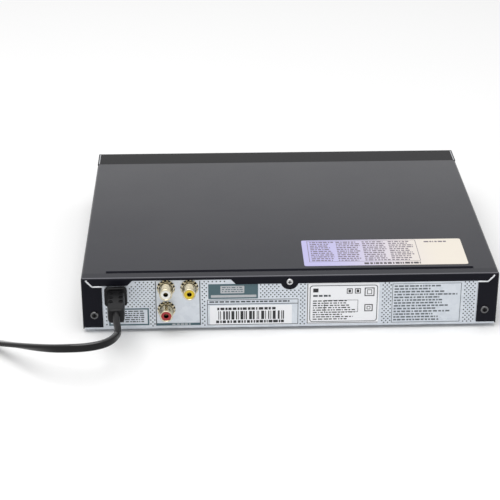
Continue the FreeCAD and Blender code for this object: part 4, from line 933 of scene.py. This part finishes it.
def socket_faces():
    """Each coloured insert's hole, lined black as painted shade, with its sprung contact."""
    piece = Piece("socket_contacts", SHADE_BLACK, NICKEL)
    tip = corners("jack_insert_white")[1].y
    hole = [(1.42, -7.5), (1.62, -7.5), (1.62, -0.25), (1.42, -0.25)]
    spring = [(1.0, -7.5), (1.35, -7.5), (1.35, -3.0), (1.1, -2.6)]
    for across, up in SOCKETS.values():
        piece.add(turned(hole, 32), (across, tip, up), TO_REAR)
        piece.add(turned(spring, 24), (across, tip, up), TO_REAR, 1)
        # Painted shade: a black disc at the bottom of the hole.
        piece.add(drum(1.5, 0.3, sides=28), (across, tip - 7.6, up), TO_REAR)
    return piece.set_down("nickel")


HEAD_HEIGHT = 1.2
TAB_HEAD_RADIUS = 2.75


def quarter_wedge(outer, slot, steps=6):
    """One of the four lands between the arms of a cross recess."""
    outline = [(slot, slot)]
    low = math.asin(slot / outer)
    for i in range(steps + 1):
        angle = low + (math.pi / 2 - 2 * low) * i / steps
        outline.append((outer * math.cos(angle), outer * math.sin(angle)))
    return outline


def cross_screw(piece, at, radius):
    """A pan-head screw: a rounded rim, a dished middle and a cross recess between four lands."""
    high = HEAD_HEIGHT
    dish = (at[0], at[1] + high * 0.36, at[2])
    profile = [
        (0.0, 0.0), (radius, 0.0), (radius, high * 0.45), (radius * 0.93, high * 0.78),
        (radius * 0.8, high * 0.95), (radius * 0.62, high), (radius * 0.56, high * 0.9),
        (radius * 0.56, high * 0.35), (0.0, high * 0.35),
    ]
    piece.add(turned(profile, 48, closed=False), at, TO_REAR)
    # Painted shade: a black disc under the lands darkens the cross recess.
    piece.add(drum(radius * 0.57, 0.1, sides=32), dish, TO_REAR, 1)
    for quarter in range(4):
        land = prism(quarter_wedge(radius * 0.58, 0.16 * radius), high * 0.6)
        turn = TO_REAR @ Matrix.Rotation(math.pi / 2 * quarter, 4, "Z")
        piece.add(land, dish, turn, 2)
    piece.add(drum(1.25, 3.9, sides=24), (at[0], at[1] - 3.9, at[2]), TO_REAR)


def cover_screws():
    """The two dark screws in the lid's tabs and the bright one in its lip."""
    low, high = corners("cover_screws_sides")
    face = high.y - HEAD_HEIGHT
    # The tab screws' heads are a lighter steel than their lands, as a painted highlight; the recess
    # floor is painted shade.
    sides = Piece("tab_screws", HIGHLIGHT_RIM_STEEL, SHADE_BLACK, BLACK_STEEL)
    for across in (low.x + TAB_HEAD_RADIUS, high.x - TAB_HEAD_RADIUS):
        cross_screw(sides, (across, face, (low.z + high.z) / 2), TAB_HEAD_RADIUS)
    sides.set_down("screw_black", replaces=("cover_screws_sides",))
    low, high = corners("cover_screw_middle")
    middle = Piece("lip_screw", BRIGHT_STEEL, SHADE_BLACK, BRIGHT_STEEL)
    cross_screw(middle, ((low.x + high.x) / 2, face, (low.z + high.z) / 2), (high.x - low.x) / 2)
    middle.set_down("screw_bright", replaces=("cover_screw_middle",))


OUTWARD = {"rear": 1, "front": -1, "top": 1}
INK_THICK = 0.05


class Print(Piece):
    """Flat marks on one face, each a hair thick so that it covers what lies under it."""

    def __init__(self, name, side, face, *finishes, thick=INK_THICK):
        super().__init__(name, *finishes)
        self.side = side
        self.face = face
        self.thick = thick

    def corner_points(self, a, b, height=1.0):
        """Two corners of a block over a rectangle of the face."""
        near, far = sorted((self.face, self.face + self.thick * height * OUTWARD[self.side]))
        if self.side == "top":
            return (a[0], b[0], near), (a[1], b[1], far)
        return (a[0], near, b[0]), (a[1], far, b[1])

    def bar(self, a, b, finish=0, height=1.0):
        low, high = self.corner_points(a, b, height)
        return self.add(block(low, high), finish=finish)

    def sheet(self, a, b, corner, finish=0, height=1.0):
        low, high = self.corner_points(a, b, height)
        axis = 2 if self.side == "top" else 1
        return self.add(card(low, high, axis, corner), finish=finish)

    def frame(self, a, b, line, finish=0, height=1.0):
        for stretch in ((a[0], a[0] + line), (a[1] - line, a[1])):
            self.bar(stretch, b, finish, height)
        for stretch in ((b[0], b[0] + line), (b[1] - line, b[1])):
            self.bar((a[0] + line, a[1] - line), stretch, finish, height)
        return self

    def dashes(self, a, b, rows, draw, finish=0, height=1.0, fill=0.5, ragged=0.0):
        """Rows of short uneven strokes, as small print looks from a step away."""
        pitch = (b[1] - b[0]) / rows
        for row in range(rows):
            low = b[0] + pitch * (row + 0.5 - fill / 2)
            across, end = a[1], a[0] + ragged * draw.random() * (a[1] - a[0])
            while across > end:
                long = min(draw.uniform(0.7, 3.2), across - end)
                if long > 0.3:
                    self.bar((across - long, across), (low, low + pitch * fill), finish, height)
                across -= long + draw.uniform(0.45, 0.9)
        return self


DOT_RADIUS = 0.5
DOT_STEP = 2.6
DOT_ROW = 1.45
DOTS_ACROSS = (-121, 123)
DOTS_UP = (4.4, 40.4)
DOTS_EDGE = 120.4
LIP_UNDERSIDE = 33.6
THIN_LIP = (40.5, 100.5)
THIN_LIP_UNDERSIDE = 36.4
BARE = [
    ((57.6, 88.2), (3.6, 38)), ((91.0, 119.0), (3.6, 18.4)), ((20.2, 54.2), (22.8, 35.2)),
    ((-6.0, 55.0), (3.4, 23.8)), ((-59.0, -9.4), (3.0, 36.0)), ((-112.0, -65.2), (3.2, 34.0)),
    ((104.5, 121.5), (22.0, 35.0)), ((-6.2, 7.6), (29.5, 40)),
]


def dotted(across, up):
    """Whether a dot belongs here: on open panel, clear of the lid's lip and tabs."""
    thin = THIN_LIP[0] < across < THIN_LIP[1]
    if abs(across) > DOTS_EDGE or up > (THIN_LIP_UNDERSIDE if thin else LIP_UNDERSIDE):
        return False
    return not any(a[0] < across < a[1] and b[0] < up < b[1] for a, b in BARE)


def panel_dots():
    """The small dots in staggered rows over the open parts of the rear panel."""
    piece = Piece("panel_dots", DARK_INK)
    rows = int((DOTS_UP[1] - DOTS_UP[0]) / DOT_ROW)
    columns = int((DOTS_ACROSS[1] - DOTS_ACROSS[0]) / DOT_STEP)
    for row in range(rows):
        up = DOTS_UP[0] + DOT_ROW * row
        shift = DOT_STEP / 2 * (row % 2)
        for column in range(columns):
            across = DOTS_ACROSS[0] + DOT_STEP * column + shift
            if dotted(across, up):
                dot = drum(DOT_RADIUS, INK_THICK, sides=8)
                piece.add(dot, (across, PANEL - 0.01, up), TO_REAR)
    return piece.set_down("paper")


def panel_prints():
    """The printed frames and rows on the bare rear panel."""
    draw = random.Random(11)
    piece = Print("panel_prints", "rear", PANEL, DARK_INK, TEAL_INK, PALE_INK, SOFT_INK)
    piece.bar((58.4, 59.0), (4.5, 37.0))
    piece.bar((86.9, 87.5), (4.5, 37.0))
    piece.bar((58.4, 87.5), (4.5, 6.3), 1)
    piece.dashes((65, 77), (4.8, 6.0), 1, draw, 2, 1.6, 0.8)
    piece.frame((91.9, 118), (5, 17.6), 1.0, 1)
    piece.dashes((94.2, 116), (7.0, 16.2), 6, draw, 0, 1.0, 0.5, 0.1)
    piece.sheet((21.1, 53.3), (23.6, 34.4), 0.4, 1)
    piece.sheet((30.0, 45.4), (27.6, 33.0), 0.4, 2, 1.6)
    piece.sheet((22.2, 51.6), (24.6, 26.4), 0.3, 2, 1.6)
    piece.dashes((31.0, 44.4), (28.2, 32.6), 3, draw, 1, 2.0, 0.4)
    piece.frame((-5.1, 54.1), (4.3, 23), 0.4, 0)
    piece.bar((-5.1, 54.1), (19.4, 19.85))
    piece.dashes((0.6, 52.6), (20.4, 22.3), 1, draw, 0, 1.0, 0.55)
    for stretch in ((-111, -110.6), (-66.4, -66)):
        piece.bar(stretch, (4.2, 32.6), 3)
    piece.bar((-111, -66), (4.2, 4.6), 3)
    piece.bar((-111, -66), (32.6, 32.9), 3)
    piece.dashes((-109.8, -67.4), (5.2, 32.0), 13, draw, 3, 1.0, 0.52, 0.5)
    return piece.set_down("paper")


def bar_sticker():
    """A white sticker with a row of uneven bars and a row of strokes under them."""
    draw = random.Random(23)
    piece = Print("bar_sticker", "rear", PANEL, WHITE_FILM, BLACK_INK, thick=0.12)
    piece.sheet((-1, 52.4), (4.8, 18.6), 0.5)
    across = 4.2
    while across < 46.8:
        wide = draw.choice((0.5, 0.5, 0.8, 1.2, 1.9))
        piece.bar((across, across + wide), (8.3, 14.5), 1, 1.4)
        across += wide + draw.choice((0.5, 0.7, 1.0, 1.4))
    piece.dashes((4.2, 48.4), (5.5, 7.9), 1, draw, 1, 1.4, 0.8)
    piece.dashes((9, 47.6), (15.0, 17.5), 1, draw, 1, 1.4, 0.72)
    return piece.set_down("paper", replaces=("labels",))


def rating_sticker():
    """A white sticker with a rounded inner frame, rows of strokes and some plain squares."""
    draw = random.Random(5)
    piece = Print("rating_sticker", "rear", PANEL, WHITE_FILM, DARK_INK, BLACK_INK, thick=0.12)
    piece.sheet((-57.5, -10.5), (4.4, 34.2), 1.6)
    piece.sheet((-56.6, -12.4), (5.6, 32.4), 2.0, 1, 1.25)
    piece.sheet((-56.1, -12.9), (6.1, 31.9), 1.6, 0, 1.5)
    piece.bar((-11.3, -10.8), (4.6, 33.6), 2, 1.25)
    piece.bar((-57.2, -11.3), (4.6, 5.0), 2, 1.25)
    piece.dashes((-43, -14.6), (6.8, 21.9), 9, draw, 2, 1.8, 0.46, 0.35)
    piece.frame((-44.0, -22.0), (12.6, 21.6), 0.3, 1, 1.7)
    piece.dashes((-26, -14.6), (23.6, 26.0), 1, draw, 1, 1.8, 0.55)
    piece.bar((-18.0, -14.6), (27.4, 30.2), 2, 1.8)
    piece.frame((-54.4, -48.0), (24.2, 30.4), 0.6, 2, 1.8)
    piece.frame((-52.8, -49.6), (25.6, 29.0), 0.4, 2, 1.8)
    piece.frame((-53.6, -48.2), (13.0, 18.2), 0.6, 2, 1.8)
    piece.frame((-52.1, -49.7), (14.4, 16.8), 0.4, 2, 1.8)
    for across in (-45.5, -40.2):
        piece.frame((across, across + 3.8), (26.2, 30.0), 0.5, 2, 1.8)
        piece.bar((across + 1.1, across + 2.7), (27.1, 29.1), 2, 1.8)
    return piece.set_down("paper", replaces=("labels",))


LID_TOP = corners("top_cover")[1].z


def lid_label():
    """The film label on the lid, lavender at one end and cream at the other."""
    draw = random.Random(31)
    piece = Print("lid_label", "top", LID_TOP, LID_FILM, FAINT_INK, LABEL_INK, thick=0.11)
    piece.sheet((-117, -9.6), (48.3, 86.3), 1.6)
    for column in range(4):
        left = -15 - 17.6 * column
        piece.dashes((left - 16.6, left), (50.4, 80.0), 11, draw, 1, 1.3, 0.52, 0.25)
    piece.frame((-86.4, -13.2), (49.6, 80.6), 0.35, 1, 1.25)
    piece.dashes((-86, -49), (81.6, 85.4), 1, draw, 2, 1.3, 0.66)
    piece.dashes((-107, -92), (51.0, 54.0), 1, draw, 1, 1.3, 0.6)
    return piece.set_down("paper", replaces=("labels",))


def cut_edges():
    """The bare steel that shows along the joint between the lid's lip and each tab."""
    piece = Piece("cut_edges", ZINC_EDGE)
    reach = corners("bottom_chassis")[1].x + 0.6
    high = LID_TOP - 6.6
    line = [
        (reach - 2.7, high + 5.2), (reach - 3.45, high + 3.95), (reach - 6.7, high + 0.55),
        (reach - 13.2, high + 0.55),
    ]
    for side in (-1, 1):
        for (x1, z1), (x2, z2) in zip(line, line[1:]):
            long = math.hypot(x2 - x1, z2 - z1)
            strip = block((-0.05, PANEL, -0.5), (long + 0.05, PANEL + 0.9, 0.5), 0.1, 1)
            turn = Matrix.Rotation(-math.atan2(z2 - z1, side * (x2 - x1)), 4, "Y")
            piece.add(strip, (side * x1, 0, z1), turn)
    return piece.set_down("zinc")


socket_shells()
socket_faces()
cut_edges()
cover_screws()
panel_dots()
panel_prints()
bar_sticker()
rating_sticker()
lid_label()


# Front panel

FACE = corners("front_panel")[0].y
BUTTONS = [86 + 12.5 * i for i in range(4)]
BUTTON_UP = 26.5
SOCKET_MARK_UP = 12.5


def front_marks():
    """Plain signs over the buttons and the side socket.

    They are a ring with a stroke, an arrow on a line, an arrow sideways, a square, and a line
    that ends in a dot.
    """
    piece = Print("front_marks", "front", FACE, PALE_INK)
    up = BUTTON_UP + 8.2
    power, slide_out, play, stop = BUTTONS
    ring = turned([(1.05, 0), (1.35, 0), (1.35, INK_THICK), (1.05, INK_THICK)], 28)
    piece.add(ring, (power, FACE, up), TO_FRONT)
    piece.bar((power - 0.15, power + 0.15), (up + 0.2, up + 1.7))
    arrow = [(-1.2, -0.3), (1.2, -0.3), (0, 1.2)]
    piece.add(prism(arrow, INK_THICK), (slide_out, FACE, up), TO_FRONT)
    piece.bar((slide_out - 1.2, slide_out + 1.2), (up - 1.1, up - 0.7))
    sideways = [(-0.9, -1.15), (1.2, 0), (-0.9, 1.15)]
    piece.add(prism(sideways, INK_THICK), (play, FACE, up), TO_FRONT)
    piece.bar((stop - 1.0, stop + 1.0), (up - 1.0, up + 1.0))
    piece.bar((112.6, 116.6), (SOCKET_MARK_UP - 0.15, SOCKET_MARK_UP + 0.15))
    piece.add(drum(0.5, INK_THICK, sides=20), (117.0, FACE, SOCKET_MARK_UP), TO_FRONT)
    return piece.set_down("paper")


def strip_lines():
    """The light line at each end of the front moulding's top."""
    low, high = corners("front_panel")
    piece = Piece("strip_lines", PALE_INK)
    for side in (-1, 1):
        across = side * (high.x - 1.1)
        start = (across - 0.3, low.y + 2.2, high.z - 0.05)
        end = (across + 0.3, high.y - 0.6, high.z + 0.03)
        piece.add(block(start, end))
    return piece.set_down("paper")


front_marks()
strip_lines()


# Light and floor

WORLD_LIGHT = 0.62
LAMP_POWER = 15.0
LAMP_SIZE = 1.6
LAMP_PLACE = Vector((0.25, 0.35, 1.5))
LAMP_AIM = Vector((0, 0.05, 0))
FLOOR_RADIUS = 6
FLOOR_SHADE = (0.9, 0.9, 0.9, 1)
WHITE = (1, 1, 1, 1)


def set_light():
    """A white background, an even studio light and one large soft lamp above."""
    world = bpy.data.worlds.new("studio")
    bpy.context.scene.world = world
    world.use_nodes = True
    tree = world.node_tree
    background = tree.nodes["Background"]
    background.inputs["Color"].default_value = WHITE
    path = tree.nodes.new("ShaderNodeLightPath")
    shown = path.outputs["Is Camera Ray"]
    for other in ("Is Glossy Ray", "Is Transmission Ray"):
        either = tree.nodes.new("ShaderNodeMath")
        either.operation = "MAXIMUM"
        tree.links.new(shown, either.inputs[0])
        tree.links.new(path.outputs[other], either.inputs[1])
        shown = either.outputs[0]
    level = tree.nodes.new("ShaderNodeMapRange")
    level.inputs["To Min"].default_value = WORLD_LIGHT
    level.inputs["To Max"].default_value = 1.0
    tree.links.new(shown, level.inputs["Value"])
    tree.links.new(level.outputs[0], background.inputs["Strength"])
    lamp = bpy.data.lights.new("soft_box", "AREA")
    lamp.shape = "DISK"
    lamp.size = LAMP_SIZE
    lamp.energy = LAMP_POWER
    holder = bpy.data.objects.new("soft_box", lamp)
    holder.location = LAMP_PLACE
    holder.rotation_euler = (LAMP_AIM - LAMP_PLACE).to_track_quat("-Z", "Y").to_euler()
    bpy.context.scene.collection.objects.link(holder)


def set_floor():
    """A plain white floor that keeps the player's shadow."""
    floor = Finish("floor_white", FLOOR_SHADE, 0.9)
    path = floor.node("ShaderNodeLightPath", output="Is Camera Ray")
    floor.set(Base_Color=floor.mix(path, FLOOR_SHADE, WHITE), Specular_IOR_Level=0.0)
    shape = bmesh.new()
    bmesh.ops.create_circle(shape, cap_ends=True, segments=64, radius=FLOOR_RADIUS)
    mesh = bpy.data.meshes.new("floor")
    shape.to_mesh(mesh)
    shape.free()
    mesh.materials.append(floor.material)
    holder = bpy.data.objects.new("floor", mesh)
    bpy.context.scene.collection.objects.link(holder)


set_light()
set_floor()
bpy.context.scene.view_settings.view_transform = "Standard"
